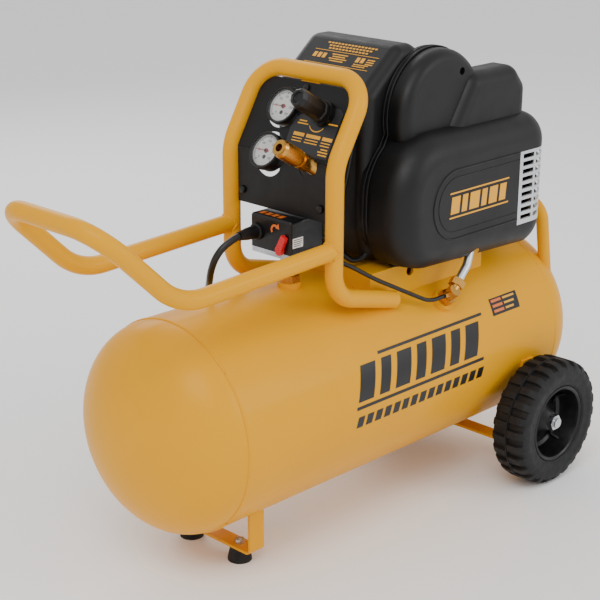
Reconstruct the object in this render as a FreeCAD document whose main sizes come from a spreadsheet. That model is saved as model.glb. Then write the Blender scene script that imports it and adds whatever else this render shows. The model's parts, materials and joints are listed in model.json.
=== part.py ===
"""Portable horizontal-tank air compressor, as a parametric FreeCAD document.

Frame: +Z up, +X along the tank from the lifting handle to the wheels, origin on the ground
under the middle of the machine. Lengths are millimetres.
"""
import FreeCAD
import Part
import Sketcher
import math
import os

Vector = FreeCAD.Vector
Rotation = FreeCAD.Rotation
Placement = FreeCAD.Placement
X, Y, Z = Vector(1, 0, 0), Vector(0, 1, 0), Vector(0, 0, 1)

# ---------------------------------------------------------------- driving dimensions
DIMENSIONS = {
    # tank
    "tank_radius": 152.4, "tank_wall": 3.0, "tank_axis_z": 211.3, "shell_front_x": -284.0,
    "shell_rear_x": 385.0, "head_depth": 99.7, "joggle": 1.2,
    # tank fittings
    "bung_radius": 17.0, "bung_rise": 7.0, "manifold_x": -66.0, "manifold_y": -6.0,
    "check_x": 146.0, "check_y": -112.0, "drain_x": -70.0,
    # saddle that carries motor and pump
    "saddle_front_x": 14.0, "saddle_rear_x": 268.0, "saddle_gap": 0.8, "saddle_top_z": 380.0,
    "saddle_plate": 4.0, "saddle_hole": 7.5,
    # feet
    "strap_width": 27.0, "strap_plate": 4.0, "foot_x": -210.7, "foot_strap_half": 86.6,
    "foot_strap_z": 21.4, "foot_pad_y": 51.0, "foot_pad_radius": 17.3,
    # wheels
    "wheel_x": 313.0, "wheel_radius": 99.5, "wheel_width": 62.0, "wheel_mid_y": 190.8,
    "rim_radius": 58.0, "axle_radius": 8.0, "axle_strap_half": 140.0, "axle_strap_z": 42.0,
    "running_fit": 0.08,
    # tube frame
    "tube_radius": 12.7, "tube_wall": 1.8, "loop_x": -75.7, "loop_half": 101.0,
    "loop_bend_z": 553.0, "loop_lean": 30.5, "loop_slope": 122.0, "handle_z": 438.0,
    "handle_reach": 397.0, "grip_rise": 103.0, "hoop_tube_radius": 9.8, "hoop_set_back": 12.3,
    "hoop_top_z": 417.0,
    # control panel
    "panel_half": 86.0, "panel_bottom_z": 473.0, "panel_slope": 107.0, "panel_plate": 2.0,
    "panel_corner": 27.0, "gauge_radius": 26.0, "gauge_depth": 22.0, "gauge_proud": 8.0,
    "gauge_gap": 4.0, "gauge_y": 26.0, "upper_gauge_slope": 66.0, "lower_gauge_slope": 0.0,
    "outlet_y": -50.0, "regulator_slope": 67.0, "knob_radius": 14.3,
    "coupler_slope": -4.0, "coupler_length": 60.0, "coupler_radius": 12.8,
    "coupler_bore": 5.6,
    # pressure switch
    "switch_front_x": -103.0, "switch_depth": 66.0, "switch_half": 39.5, "switch_y": -5.5,
    "switch_bottom_z": 419.0, "switch_top_z": 471.0, "switch_base_height": 12.0,
    # motor and pump
    "crank_x": 112.3, "crank_z": 467.0, "shaft_radius": 8.0, "stator_radius": 66.0,
    "stator_front_y": -42.0, "stator_rear_y": 62.0, "throw": 11.0, "pin_radius": 6.0, "rod_y": -86.0,
    "bore_radius": 27.0, "cylinder_x": 186.0, "cylinder_length": 58.0, "fan_radius": 60.0,
    "fan_y": 84.0,
    # shroud
    "cover_wall": 3.0, "cover_bottom_z": 385.0, "seam_y": -70.0, "motor_end_y": 115.0,
    "cover_top_z": 687.5, "cover_rear_x": 296.0, "ridge_x": 98.0, "label_slope": 39.8,
    "dome_x": 152.0, "dome_z": 592.0, "dome_radius": 89.0, "dome_face_y": -101.0,
    "bulge_face_y": -138.0, "bulge_front_x": 24.0, "bulge_rear_x": 363.0,
    "bulge_top_z": 572.0, "bulge_drop": 22.0, "block_top_z": 642.0, "block_rear_x": 331.0,
    "block_face_y": -113.0, "grille_front_x": 285.0, "grille_low_z": 407.0,
    "grille_height": 113.0,
    # cords and lines
    "cord_radius": 5.0, "line_radius": 3.0, "motor_lead_radius": 3.8, "pipe_radius": 6.4,
    "hose_radius": 4.0,
    "coil_x": 62.0, "coil_y": 272.0, "coil_turn_radius": 58.0,
}

doc = FreeCAD.newDocument("air_compressor")
sheet = doc.addObject("Spreadsheet::Sheet", "Dims")
for row, (alias, number) in enumerate(DIMENSIONS.items(), start=1):
    sheet.set(f"A{row}", alias)
    sheet.set(f"B{row}", str(number))
    sheet.setAlias(f"B{row}", alias)
doc.recompute()


class Size:
    """A length that knows both its number and the sheet formula that it comes from."""

    def __init__(self, value, text=None):
        self.value = float(value)
        self.text = text if text else repr(self.value)

    def _join(self, other, sign, result, flipped=False):
        first, second = (other, self) if flipped else (self, other)
        return Size(result, f"({first.text} {sign} {second.text})")

    def __add__(self, other):
        other = as_size(other)
        return self._join(other, "+", self.value + other.value)

    def __radd__(self, other):
        return self + other

    def __sub__(self, other):
        other = as_size(other)
        return self._join(other, "-", self.value - other.value)

    def __rsub__(self, other):
        return as_size(other) - self

    def __mul__(self, other):
        other = as_size(other)
        return self._join(other, "*", self.value * other.value)

    def __rmul__(self, other):
        return self * other

    def __truediv__(self, other):
        other = as_size(other)
        return self._join(other, "/", self.value / other.value)

    def __neg__(self):
        return Size(-self.value, f"(0 - {self.text})")

    def __float__(self):
        return self.value


def as_size(thing):
    return thing if isinstance(thing, Size) else Size(thing)


class Sheet:
    """Reads named sizes from the spreadsheet."""

    def __getattr__(self, alias):
        return Size(sheet.get(alias), f"Dims.{alias}")


D = Sheet()


def chord(radius, offset):
    """Height of a circle above its centre line, at an offset from the centre."""
    radius, offset = as_size(radius), as_size(offset)
    number = math.sqrt(radius.value ** 2 - offset.value ** 2)
    return Size(number, f"sqrt({radius.text} * {radius.text} - {offset.text} * {offset.text})")


def sine(angle):
    return Size(math.sin(math.radians(angle.value)), f"sin({angle.text} * 1deg)")


def cosine(angle):
    return Size(math.cos(math.radians(angle.value)), f"cos({angle.text} * 1deg)")


# ---------------------------------------------------------------- modelling helpers
nodes = {}


def bind(thing, **sizes):
    """Binds properties of a document object to sheet formulas."""
    for name, size in sizes.items():
        size = as_size(size)
        setattr(thing, name, size.value)
        if "Dims." in size.text:
            thing.setExpression(name, size.text)
    return thing


def put(thing, x=0, y=0, z=0, turn=None):
    """Places an object at sheet-driven coordinates, turned by a fixed rotation."""
    spot = [as_size(value) for value in (x, y, z)]
    thing.Placement = Placement(Vector(*[size.value for size in spot]), turn or Rotation())
    for axis, size in zip("xyz", spot):
        if "Dims." in size.text:
            thing.setExpression(f"Placement.Base.{axis}", size.text)
    return thing


def node(label, thing):
    """Names a finished sub-part."""
    thing.Label = label
    nodes[label] = thing
    return thing


def helper(kind, name):
    return doc.addObject(kind, name)


def box(x, y, z, length, width, height):
    """A box from its low corner."""
    return put(bind(helper("Part::Box", "block"), Length=length, Width=width, Height=height),
               x, y, z)


def rod(radius, length, x, y, z, axis=Z):
    """A cylinder that starts at a point and runs along an axis."""
    thing = bind(helper("Part::Cylinder", "rod"), Radius=radius, Height=length)
    return put(thing, x, y, z, Rotation(Z, axis))


def cone(radius, end_radius, length, x, y, z, axis=Z):
    thing = bind(helper("Part::Cone", "cone"), Radius1=radius, Radius2=end_radius, Height=length)
    return put(thing, x, y, z, Rotation(Z, axis))


def hexagon(across_flats, length, x, y, z, axis=Z, sides=6):
    """A nut shape that starts at a point and runs along an axis."""
    thing = helper("Part::Prism", "nut")
    thing.Polygon = sides
    bind(thing, Circumradius=as_size(across_flats) / (2 * math.cos(math.pi / sides)),
         Height=length)
    return put(thing, x, y, z, Rotation(Z, axis))


def fuse(*shapes):
    thing = helper("Part::MultiFuse", "joined")
    thing.Shapes = list(shapes)
    return thing


def cut(base, *tools):
    thing = helper("Part::Cut", "cut")
    thing.Base = base
    thing.Tool = tools[0] if len(tools) == 1 else fuse(*tools)
    return thing


def common(*shapes):
    thing = helper("Part::MultiCommon", "common")
    thing.Shapes = list(shapes)
    return thing


def rounded(base, radius, chosen):
    """Fillets the edges of a base that a test picks."""
    doc.recompute()
    thing = helper("Part::Fillet", "rounded")
    thing.Base = base
    edges = [number for number, edge in enumerate(base.Shape.Edges, start=1) if chosen(edge)]
    thing.Edges = [(number, float(radius), float(radius)) for number in edges]
    return thing


def shaped(shape):
    """A document object that holds a shape made by code from the sheet's sizes."""
    thing = helper("Part::Feature", "shape")
    thing.Shape = shape
    return thing


def origin_plane(body, role):
    return [item for item in body.Origin.OriginFeatures if item.Role == role][0]


def sketch_on(body, role, outline):
    """A closed polygon whose every corner is tied to sheet formulas."""
    sketch = body.newObject("Sketcher::SketchObject", "sketch")
    sketch.AttachmentSupport = [(origin_plane(body, role), "")]
    sketch.MapMode = "FlatFace"
    corners = [(as_size(across), as_size(up)) for across, up in outline]
    spots = [Vector(across.value, up.value, 0) for across, up in corners]
    count = len(spots)
    for index in range(count):
        sketch.addGeometry(Part.LineSegment(spots[index], spots[(index + 1) % count]))
    for index in range(count):
        sketch.addConstraint(Sketcher.Constraint("Coincident", index, 2, (index + 1) % count, 1))
    for index, corner in enumerate(corners):
        for kind, size in zip(("DistanceX", "DistanceY"), corner):
            number = sketch.addConstraint(
                Sketcher.Constraint(kind, -1, 1, index, 1, size.value))
            if "Dims." in size.text:
                sketch.setExpression(f"Constraints[{number}]", size.text)
    return sketch


def turned(profile, x=0, y=0, z=0, axis=Z):
    """A PartDesign body turned from (radius, height) corners about its own axis."""
    body = helper("PartDesign::Body", "turned")
    sketch = sketch_on(body, "XZ_Plane", profile)
    spin = body.newObject("PartDesign::Revolution", "spin")
    spin.Profile = sketch
    spin.ReferenceAxis = (sketch, ["V_Axis"])
    spin.Angle = 360
    return put(body, x, y, z, Rotation(Z, axis))


def plate(outline, thickness, x=0, y=0, z=0, turn=None, corner=None, corners_at=None):
    """A PartDesign pad of a polygon; chosen upright edges can be rounded."""
    body = helper("PartDesign::Body", "plate")
    sketch = sketch_on(body, "XY_Plane", outline)
    pad = body.newObject("PartDesign::Pad", "pad")
    pad.Profile = sketch
    bind(pad, Length=thickness)
    if corner is not None:
        doc.recompute()
        upright = [f"Edge{number}" for number, edge in enumerate(pad.Shape.Edges, start=1)
                   if abs(edge.tangentAt(edge.FirstParameter).z) > 0.99
                   and (corners_at is None or corners_at(edge.CenterOfMass))]
        fillet = body.newObject("PartDesign::Fillet", "fillet")
        fillet.Base = (pad, upright)
        bind(fillet, Radius=corner)
    return put(body, x, y, z, turn)


def route(points, bends=None):
    """Straight runs joined by tangent arcs; without bends each arc is as large as fits."""
    spots = [Vector(*[float(as_size(value)) for value in point]) for point in points]
    edges, radii = [], []
    last = spots[0]
    for index in range(1, len(spots) - 1):
        before, here, after = spots[index - 1], spots[index], spots[index + 1]
        back, ahead = (before - here), (after - here)
        half_turn = (math.pi - back.getAngle(ahead)) / 2
        reach = 0.45 * min(back.Length, ahead.Length)
        if bends is None:
            radius = reach / math.tan(half_turn)
        else:
            radius = float(bends[index - 1])
            reach = radius * math.tan(half_turn)
        back.normalize()
        ahead.normalize()
        inward = back + ahead
        inward.normalize()
        middle = here + inward * (radius / math.cos(half_turn) - radius)
        start, end = here + back * reach, here + ahead * reach
        if (start - last).Length > 1e-6:
            edges.append(Part.LineSegment(last, start).toShape())
        edges.append(Part.Arc(start, middle, end).toShape())
        radii.append(radius)
        last = end
    edges.append(Part.LineSegment(last, spots[-1]).toShape())
    return Part.Wire(edges), radii


def pipe(name, points, radius, bends=None, wall=None):
    """Sweeps a round section along a route; prints its bend radii and volume error."""
    path, radii = route(points, bends)
    start = path.Edges[0]
    heading = start.tangentAt(start.FirstParameter)
    ring = Part.Wire(Part.makeCircle(radius, start.valueAt(start.FirstParameter), heading))
    solid = path.makePipeShell([ring], True, False)
    ideal = math.pi * radius ** 2 * path.Length
    if wall:
        hollow = Part.Wire(Part.makeCircle(radius - wall, start.valueAt(start.FirstParameter),
                                           heading))
        solid = solid.cut(path.makePipeShell([hollow], True, False))
        ideal -= math.pi * (radius - wall) ** 2 * path.Length
    print(f"{name}: length {path.Length:.0f}, smallest bend {min(radii):.1f}, "
          f"volume / ideal {solid.Volume / ideal:.4f}")
    return solid


def mirrored_y(points):
    """A route that runs down one side, then back up the other side, of the XZ plane."""
    return points + [(x, -y, z) for x, y, z in reversed(points)]


# ---------------------------------------------------------------- tank
def tank_barrel():
    """The outside of the tank's straight part, for trimming what is welded to it."""
    return rod(D.tank_radius, D.shell_rear_x - D.shell_front_x, D.shell_front_x, 0,
               D.tank_axis_z, X)


def dome(seam, outward, grow=0):
    """Half of the ellipsoid that a tank head follows, from its seam outward."""
    thing = helper("Part::Ellipsoid", "dome")
    radius = D.tank_radius - D.joggle + grow
    bind(thing, Radius1=D.head_depth + grow, Radius2=radius, Radius3=radius)
    thing.Angle1, thing.Angle2, thing.Angle3 = 0, 90, 360
    return put(thing, seam, 0, D.tank_axis_z, Rotation(Z, X * outward))


def tank_shell():
    length = D.shell_rear_x - D.shell_front_x
    outside = rod(D.tank_radius, length, D.shell_front_x, 0, D.tank_axis_z, X)
    bore = rod(D.tank_radius - D.tank_wall, length, D.shell_front_x, 0, D.tank_axis_z, X)
    return node("tank_shell", cut(outside, bore))


def tank_head(label, seam, outward):
    """An ellipsoidal head whose joggled edge butts on the shell."""
    return node(label, cut(dome(seam, outward), dome(seam, outward, -D.tank_wall)))


def tank_bungs():
    """Threaded bosses for the manifold, the check valve and the drain."""
    top = rod(D.bung_radius, D.bung_rise + 20, D.manifold_x, D.manifold_y,
              D.tank_axis_z + D.tank_radius - 20, Z)
    side = rod(D.bung_radius, D.bung_rise + 20, D.check_x,
               D.check_y * (D.tank_radius - 20) / D.tank_radius,
               D.tank_axis_z + chord(D.tank_radius, D.check_y) * (D.tank_radius - 20)
               / D.tank_radius, shoulder_direction())
    drain = rod(D.bung_radius * 0.8, D.bung_rise + 20, D.drain_x, 0,
                D.tank_axis_z - D.tank_radius + 20, -Z)
    return node("tank_bungs", cut(fuse(top, side, drain), tank_barrel()))


def shoulder_direction():
    """Outward direction of the tank's wall where the check valve stands."""
    rise = float(chord(D.tank_radius, D.check_y))
    return Vector(0, float(D.check_y), rise).normalize()


tank_shell()
tank_head("tank_head_front", D.shell_front_x, -1)
tank_head("tank_head_rear", D.shell_rear_x, 1)
tank_bungs()


# ---------------------------------------------------------------- saddle and brackets
SADDLE_HALF = D.loop_half - D.tube_radius - D.saddle_gap


def pump_saddle():
    """An inverted channel with a front lip, trimmed to the tank's curve."""
    length = D.saddle_rear_x - D.saddle_front_x
    depth = D.saddle_top_z - D.tank_axis_z
    outside = box(D.saddle_front_x, -SADDLE_HALF, D.tank_axis_z, length, SADDLE_HALF * 2,
                  depth)
    hollow = box(D.saddle_front_x + D.saddle_plate, -SADDLE_HALF + D.saddle_plate,
                 D.tank_axis_z, length, (SADDLE_HALF - D.saddle_plate) * 2,
                 depth - D.saddle_plate)
    holes = [rod(D.saddle_hole, SADDLE_HALF * 2 + 2, D.saddle_front_x + share * length,
                 -SADDLE_HALF - 1, D.saddle_top_z - 13, Y) for share in (0.34, 0.8)]
    lead_hole = rod(12, D.saddle_plate * 3, D.crank_x + 60, 40,
                    D.saddle_top_z - D.saddle_plate * 2, Z)
    return node("pump_saddle", cut(outside, hollow, lead_hole, tank_barrel(), *holes))


def strap(mid_x, half, bottom_z, top_z):
    """A flat U strap, bent from plate, that hugs the tank from below."""
    low_x = mid_x - D.strap_width / 2
    outside = box(low_x, -half, bottom_z, D.strap_width, half * 2, top_z - bottom_z)
    inside = box(low_x - 1, -half + D.strap_plate, bottom_z + D.strap_plate,
                 D.strap_width + 2, (half - D.strap_plate) * 2, top_z - bottom_z)
    doc.recompute()
    bottom = float(bottom_z)
    corners = rounded(outside, 10, lambda edge: abs(edge.CenterOfMass.z - bottom) < 0.01
                      and abs(edge.tangentAt(edge.FirstParameter).x) > 0.99)
    return cut(corners, inside)


def front_foot_bracket():
    blank = strap(D.foot_x, D.foot_strap_half, D.foot_strap_z, D.tank_axis_z - 90)
    screws = [rod(4.2, D.strap_plate * 4, D.foot_x, side * D.foot_pad_y, D.foot_strap_z - 4)
              for side in (-1, 1)]
    return node("front_foot_bracket", cut(blank, tank_barrel(), *screws))


def foot_pads():
    pads = []
    for side in (-1, 1):
        profile = [(3.2, 0), (D.foot_pad_radius, 0), (D.foot_pad_radius, 4),
                   (D.foot_pad_radius - 4, D.foot_strap_z), (3.2, D.foot_strap_z)]
        pads.append(turned(profile, D.foot_x, side * D.foot_pad_y, 0))
    return node("foot_pads", fuse(*pads))


def foot_screws():
    screws = []
    for side in (-1, 1):
        shank = rod(3, D.foot_strap_z + D.strap_plate + 2, D.foot_x, side * D.foot_pad_y, 6)
        nut = hexagon(13, 6.5, D.foot_x, side * D.foot_pad_y, D.foot_strap_z + D.strap_plate)
        screws.append(fuse(shank, nut))
    return node("foot_screws", fuse(*screws))


def axle_bracket():
    """The wheel bracket: a deep strap whose legs lie along the tank's sides."""
    blank = strap(D.wheel_x, D.axle_strap_half + D.strap_plate, D.axle_strap_z,
                  D.tank_axis_z - 40)
    wings = common(
        cut(rod(D.tank_radius + D.strap_plate, D.strap_width, D.wheel_x - D.strap_width / 2, 0,
                D.tank_axis_z, X),
            rod(D.tank_radius, D.strap_width + 2, D.wheel_x - D.strap_width / 2 - 1, 0,
                D.tank_axis_z, X)),
        box(D.wheel_x - D.strap_width / 2, -D.tank_radius * 2, D.tank_axis_z - 68,
            D.strap_width, D.tank_radius * 4, 46))
    bolts = rod(D.axle_radius + 0.2, D.axle_strap_half * 3, D.wheel_x, -D.axle_strap_half * 1.5,
                D.wheel_radius, Y)
    return node("axle_bracket", cut(fuse(blank, wings), tank_barrel(), bolts))


def axle_bolts():
    """Two shoulder bolts: head inside the strap, lock nut outside the wheel."""
    bolts = []
    for side in (-1, 1):
        way = Y * side
        inner = side * (D.axle_strap_half - 7)
        reach = D.wheel_mid_y + D.wheel_width / 2 - D.axle_strap_half + 7
        shank = rod(D.axle_radius, reach - 4, D.wheel_x, inner, D.wheel_radius, way)
        head = hexagon(24, 7, D.wheel_x, inner, D.wheel_radius, way)
        nut_y = side * (D.wheel_mid_y + D.wheel_width / 2 - 17)
        nut = hexagon(22, 9, D.wheel_x, nut_y, D.wheel_radius, way)
        bolts.append(fuse(shank, head, nut))
    return node("axle_bolts", fuse(*bolts))


pump_saddle()
front_foot_bracket()
foot_pads()
foot_screws()
axle_bracket()
axle_bolts()


# ---------------------------------------------------------------- wheels
def wheel(side, name):
    """A dished hub-and-rim moulding and its semi-solid tyre."""
    half = D.wheel_width / 2
    hub_in = -(D.wheel_mid_y - D.axle_strap_half - D.strap_plate - 0.6)
    hub_out = half - 17.6
    rim = D.rim_radius
    bore = D.axle_radius + D.running_fit
    outline = [(bore, hub_in), (20, hub_in), (22, -half * 0.5), (rim - 8, -half * 0.3),
               (rim - 7, -half + 7), (rim, -half + 7), (rim, half - 7), (rim - 5, half - 7),
               (rim - 7, 4), (24, 1), (17, hub_out), (bore, hub_out)]
    rotation = Y * side
    node(f"wheel_rim_{name}", turned(outline, D.wheel_x, side * D.wheel_mid_y, D.wheel_radius,
                                     rotation))
    tread = D.wheel_radius
    tyre = [(rim, -half + 8), (rim + 10, -half + 2), (tread - 22, -half), (tread - 9, -half + 3),
            (tread - 2, -half + 10), (tread, -half + 16), (tread, half - 16),
            (tread - 2, half - 10), (tread - 9, half - 3), (tread - 22, half),
            (rim + 10, half - 2), (rim, half - 8)]
    node(f"tyre_{name}", turned(tyre, D.wheel_x, side * D.wheel_mid_y, D.wheel_radius, rotation))


wheel(-1, "left")
wheel(1, "right")


# ---------------------------------------------------------------- tube frame
def lean(along, normal=0):
    """X and Z of a point up the leaning part of the front loop."""
    tilt = D.loop_lean
    x = D.loop_x + sine(tilt) * along - cosine(tilt) * normal
    z = D.loop_bend_z + cosine(tilt) * along + sine(tilt) * normal
    return x, z


def loop_points():
    top_x, top_z = lean(D.loop_slope)
    seat_z = D.tank_axis_z + chord(D.tank_radius, D.loop_half) + 12.3
    side = [(D.loop_x + 126, D.loop_half, seat_z),
            (D.loop_x, D.loop_half, D.tank_axis_z + D.tank_radius + 6),
            (D.loop_x, D.loop_half, D.loop_bend_z),
            (top_x, D.loop_half, top_z)]
    return mirrored_y(side)


def control_loop(outer=False):
    radius, wall = float(D.tube_radius), float(D.tube_wall)
    bends = [45, 70, 46, 46, 70, 45]
    return pipe("control_loop", loop_points(), radius, bends, None if outer else wall)


def handle_shape():
    bend_x = D.loop_x - D.handle_reach * 0.7
    bend_z = D.handle_z - 12
    end_x = D.loop_x - D.handle_reach
    side = [(D.loop_x, D.loop_half, D.handle_z), (bend_x, D.loop_half, bend_z),
            (end_x, D.loop_half - 5, bend_z + D.grip_rise + 12)]
    bends = [95, 52, 52, 95]
    return pipe("handle", mirrored_y(side), float(D.tube_radius), bends, float(D.tube_wall))


def rear_hoop_shape():
    hoop_x = D.shell_rear_x + D.hoop_set_back
    side = [(hoop_x + 23, D.loop_half, D.tank_axis_z + D.tank_radius * 0.5),
            (hoop_x, D.loop_half, D.hoop_top_z)]
    return pipe("rear_hoop", mirrored_y(side), float(D.hoop_tube_radius), [34, 34], 1.6)


loop_solid = shaped(control_loop(outer=True))
node("control_loop", cut(shaped(control_loop()), tank_barrel()))
node("handle", cut(shaped(handle_shape()), loop_solid))
node("rear_hoop", cut(cut(shaped(rear_hoop_shape()), tank_barrel()), dome(D.shell_rear_x, 1)))


# ---------------------------------------------------------------- control panel
LEAN_WAY = Vector(-math.cos(math.radians(float(D.loop_lean))), 0,
                  math.sin(math.radians(float(D.loop_lean))))
SLOPE_WAY = Vector(-LEAN_WAY.z * -1, 0, -LEAN_WAY.x)


def on_panel(along, y, out=0):
    """A point on the leaning part of the panel, a distance out of its face."""
    x, z = lean(along, D.panel_plate / 2 + as_size(out))
    return x, as_size(y), z


def panel_cylinder(radius, length, along, y, out):
    return rod(radius, length, *on_panel(along, y, out), LEAN_WAY)


def control_panel():
    half, thick = D.panel_half, D.panel_plate
    lower = box(D.loop_x - thick / 2, -half, D.panel_bottom_z, thick, half * 2,
                D.loop_bend_z - D.panel_bottom_z)
    slope = D.panel_slope
    upper = plate([(-half, 0), (half, 0), (half, slope), (-half, slope)], thick,
                  corner=D.panel_corner, corners_at=lambda centre: centre.y > 1)
    turn = Rotation(Y, SLOPE_WAY, -1 * LEAN_WAY, "ZXY")
    base_x, base_z = lean(0, thick / 2)
    put(upper, base_x, 0, base_z, turn)
    holes = [panel_cylinder(D.gauge_radius + D.gauge_gap, 60, along, D.gauge_y, -30)
             for along in (D.upper_gauge_slope, D.lower_gauge_slope)]
    holes.append(panel_cylinder(14, 60, D.regulator_slope, D.outlet_y, -30))
    holes.append(panel_cylinder(18, 60, D.coupler_slope, D.outlet_y, -30))
    screws = [panel_cylinder(3.2, 20, D.panel_slope - 9, 0, -10)]
    screws += [rod(3.2, 20, D.loop_x - 10, side * (D.panel_half - 10), D.panel_bottom_z + 18, X)
               for side in (-1, 1)]
    return node("control_panel", cut(fuse(lower, upper), *holes, *screws))


def panel_tabs():
    """Small welded ears that the panel's screws pull on to."""
    back = D.panel_plate / 2
    tabs = []
    for side in (-1, 1):
        outer = D.loop_half * side
        inner = (D.panel_half - 18) * side
        low = inner if side > 0 else outer
        tabs.append(box(D.loop_x + back, low, D.panel_bottom_z + 8, 3,
                        D.loop_half - D.panel_half + 18, 20))
    turn = Rotation(Y, SLOPE_WAY, -1 * LEAN_WAY, "ZXY")
    x, y, z = on_panel(D.panel_slope - 17, 0, -D.panel_plate)
    top = plate([(-17, 0), (17, 0), (17, D.loop_slope - D.panel_slope + 17),
                 (-17, D.loop_slope - D.panel_slope + 17)], 3)
    tabs.append(put(top, x, 0, z, turn))
    drill = [panel_cylinder(2.6, 20, D.panel_slope - 9, 0, -10)]
    drill += [rod(2.6, 20, D.loop_x - 10, side * (D.panel_half - 10), D.panel_bottom_z + 18, X)
              for side in (-1, 1)]
    return node("panel_tabs", cut(fuse(*tabs), loop_solid, *drill))


def panel_screws():
    screws = [fuse(panel_cylinder(2.5, 12, D.panel_slope - 9, 0, -12),
                   panel_cylinder(5, 3, D.panel_slope - 9, 0, 0))]
    for side in (-1, 1):
        y, z = side * (D.panel_half - 10), D.panel_bottom_z + 18
        front = D.loop_x - D.panel_plate / 2
        screws.append(fuse(rod(2.5, 12, front, y, z, X), rod(5, 3, front, y, z, -X)))
    return node("panel_screws", fuse(*screws))


control_panel()
panel_tabs()
panel_screws()


def gauge(name, along):
    """A round pressure gauge: cup, red pointer; dial and lens are grouped later."""
    out = D.gauge_proud
    radius, depth = D.gauge_radius, D.gauge_depth
    profile = [(0, 0), (radius - 1.5, 0), (radius - 1.5, depth - 5), (radius, depth - 5),
               (radius, depth), (radius - 2.4, depth), (radius - 2.4, depth - 6),
               (0, depth - 6)]
    case = turned(profile, *on_panel(along, D.gauge_y, out - depth), LEAN_WAY)
    stem = panel_cylinder(6, 14, along, D.gauge_y, out - depth - 14)
    post = panel_cylinder(1.4, 4.2, along, D.gauge_y, out - 6)
    node(f"{name}_gauge_case", fuse(case, stem, post))
    needle_out = out - 6 + 1.6
    eye = panel_cylinder(2.6, 1.2, along, D.gauge_y, needle_out)
    length = radius - 7
    tail_x, tail_y, tail_z = on_panel(as_size(along) - 0.8, D.gauge_y - 5, needle_out)
    blade = plate([(0, 0), (length + 5, 0.5), (length + 5, 1.1), (0, 1.6)], 0.6)
    put(blade, tail_x, tail_y, tail_z, Rotation(Y, SLOPE_WAY, -1 * LEAN_WAY, "ZXY"))
    pin = panel_cylinder(1.4 + 0.05, 6, along, D.gauge_y, needle_out - 2)
    node(f"{name}_gauge_needle", cut(fuse(eye, blade), pin))


def gauge_discs(label, radius, thick, out, bore=None):
    """One thin disc in each gauge."""
    discs = []
    for along in (D.upper_gauge_slope, D.lower_gauge_slope):
        disc = panel_cylinder(radius, thick, along, D.gauge_y, out)
        if bore:
            disc = cut(disc, panel_cylinder(bore, thick + 2, along, D.gauge_y, out - 1))
        discs.append(disc)
    return node(label, fuse(*discs))


gauge("tank", D.upper_gauge_slope)
gauge("outlet", D.lower_gauge_slope)
gauge_discs("gauge_dials", D.gauge_radius - 2.5, 0.8, D.gauge_proud - 6, 1.5)
gauge_discs("gauge_lenses", D.gauge_radius - 2.5, 1.2, D.gauge_proud - 1.6)


def regulator():
    """A screw-type regulator: body behind the panel, collar nut and turning knob."""
    along, y = D.regulator_slope, D.outlet_y
    body = panel_cylinder(17, 34, along, y, -37)
    neck = panel_cylinder(12.7, 14, along, y, -5)
    stem = panel_cylinder(5, 36, along, y, 9)
    collar = panel_cylinder(18, 8, along, y, 1)
    port = rod(8, 26, *on_panel(along, y, -20), -1 * SLOPE_WAY)
    node("regulator_body", fuse(body, neck, collar, stem, port))
    start = 9.5
    profile = [(5 + D.running_fit, 0), (D.knob_radius + 1.5, 0), (D.knob_radius + 1.5, 6),
               (D.knob_radius, 9), (D.knob_radius, 48), (D.knob_radius - 2.5, 55),
               (0, 55), (0, 44), (5 + D.running_fit, 44)]
    grip = turned(profile, *on_panel(along, y, start), LEAN_WAY)
    flute = helper("Part::Feature", "flutes")
    shapes = []
    for index in range(12):
        angle = index * math.pi / 6
        spot = Vector(math.cos(angle), math.sin(angle), 0) * (float(D.knob_radius) + 1.9)
        shapes.append(Part.makeCylinder(3, 44, spot + Vector(0, 0, 12)))
    flute.Shape = Part.makeCompound(shapes)
    put(flute, *on_panel(along, y, start), Rotation(Z, LEAN_WAY))
    node("regulator_knob", cut(grip, flute))


def coupler():
    """A female quick coupler: nipple and socket, with a sliding knurled sleeve."""
    along, y = D.coupler_slope, D.outlet_y
    bore, outer = D.coupler_bore, D.coupler_radius
    length = D.coupler_length
    profile = [(bore - 2, -18), (10, -18), (10, -2), (outer - 1, -2), (outer - 1, 14),
               (outer - 3, 14), (outer - 3, length), (bore, length), (bore, length - 22),
               (bore - 2, length - 22)]
    node("coupler_body", turned(profile, *on_panel(along, y, 0), LEAN_WAY))
    inner = outer - 3 + D.running_fit
    sleeve = [(inner, 20), (outer - 0.8, 20), (outer, 22), (outer, length - 6),
              (outer - 1.5, length - 1), (inner, length - 1)]
    node("coupler_sleeve", turned(sleeve, *on_panel(along, y, 0), LEAN_WAY))


regulator()
coupler()


# ---------------------------------------------------------------- pressure switch and valves
def pressure_switch():
    front, depth, half = D.switch_front_x, D.switch_depth, D.switch_half
    mid, low, top = D.switch_y, D.switch_bottom_z, D.switch_top_z
    base_height = D.switch_base_height
    flange = box(front + 2, mid - half + 1, low - 4, depth - 4, half * 2 - 2, base_height - 4)
    neck = rod(13, 12, D.manifold_x, D.manifold_y, low - 16)
    node("switch_base", fuse(flange, neck))
    cover = box(front, mid - half, low + 4.2, depth, half * 2, top - low - 4.2)
    softened = rounded(cover, 4, lambda edge: edge.CenterOfMass.z > float(low) + 6)
    hollow = box(front + 2.5, mid - half + 2.5, low + 3, depth - 5, half * 2 - 5,
                 top - low - 5.5)
    gland_hole = rod(8, 12, front - 5, D.switch_y + 25.5, low + 27, X)
    pivot_hole = rod(3.06, 8, front - 2, D.switch_y - 21.5, low + 9.5, X)
    node("switch_cover", cut(softened, hollow, gland_hole, pivot_hole))


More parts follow.
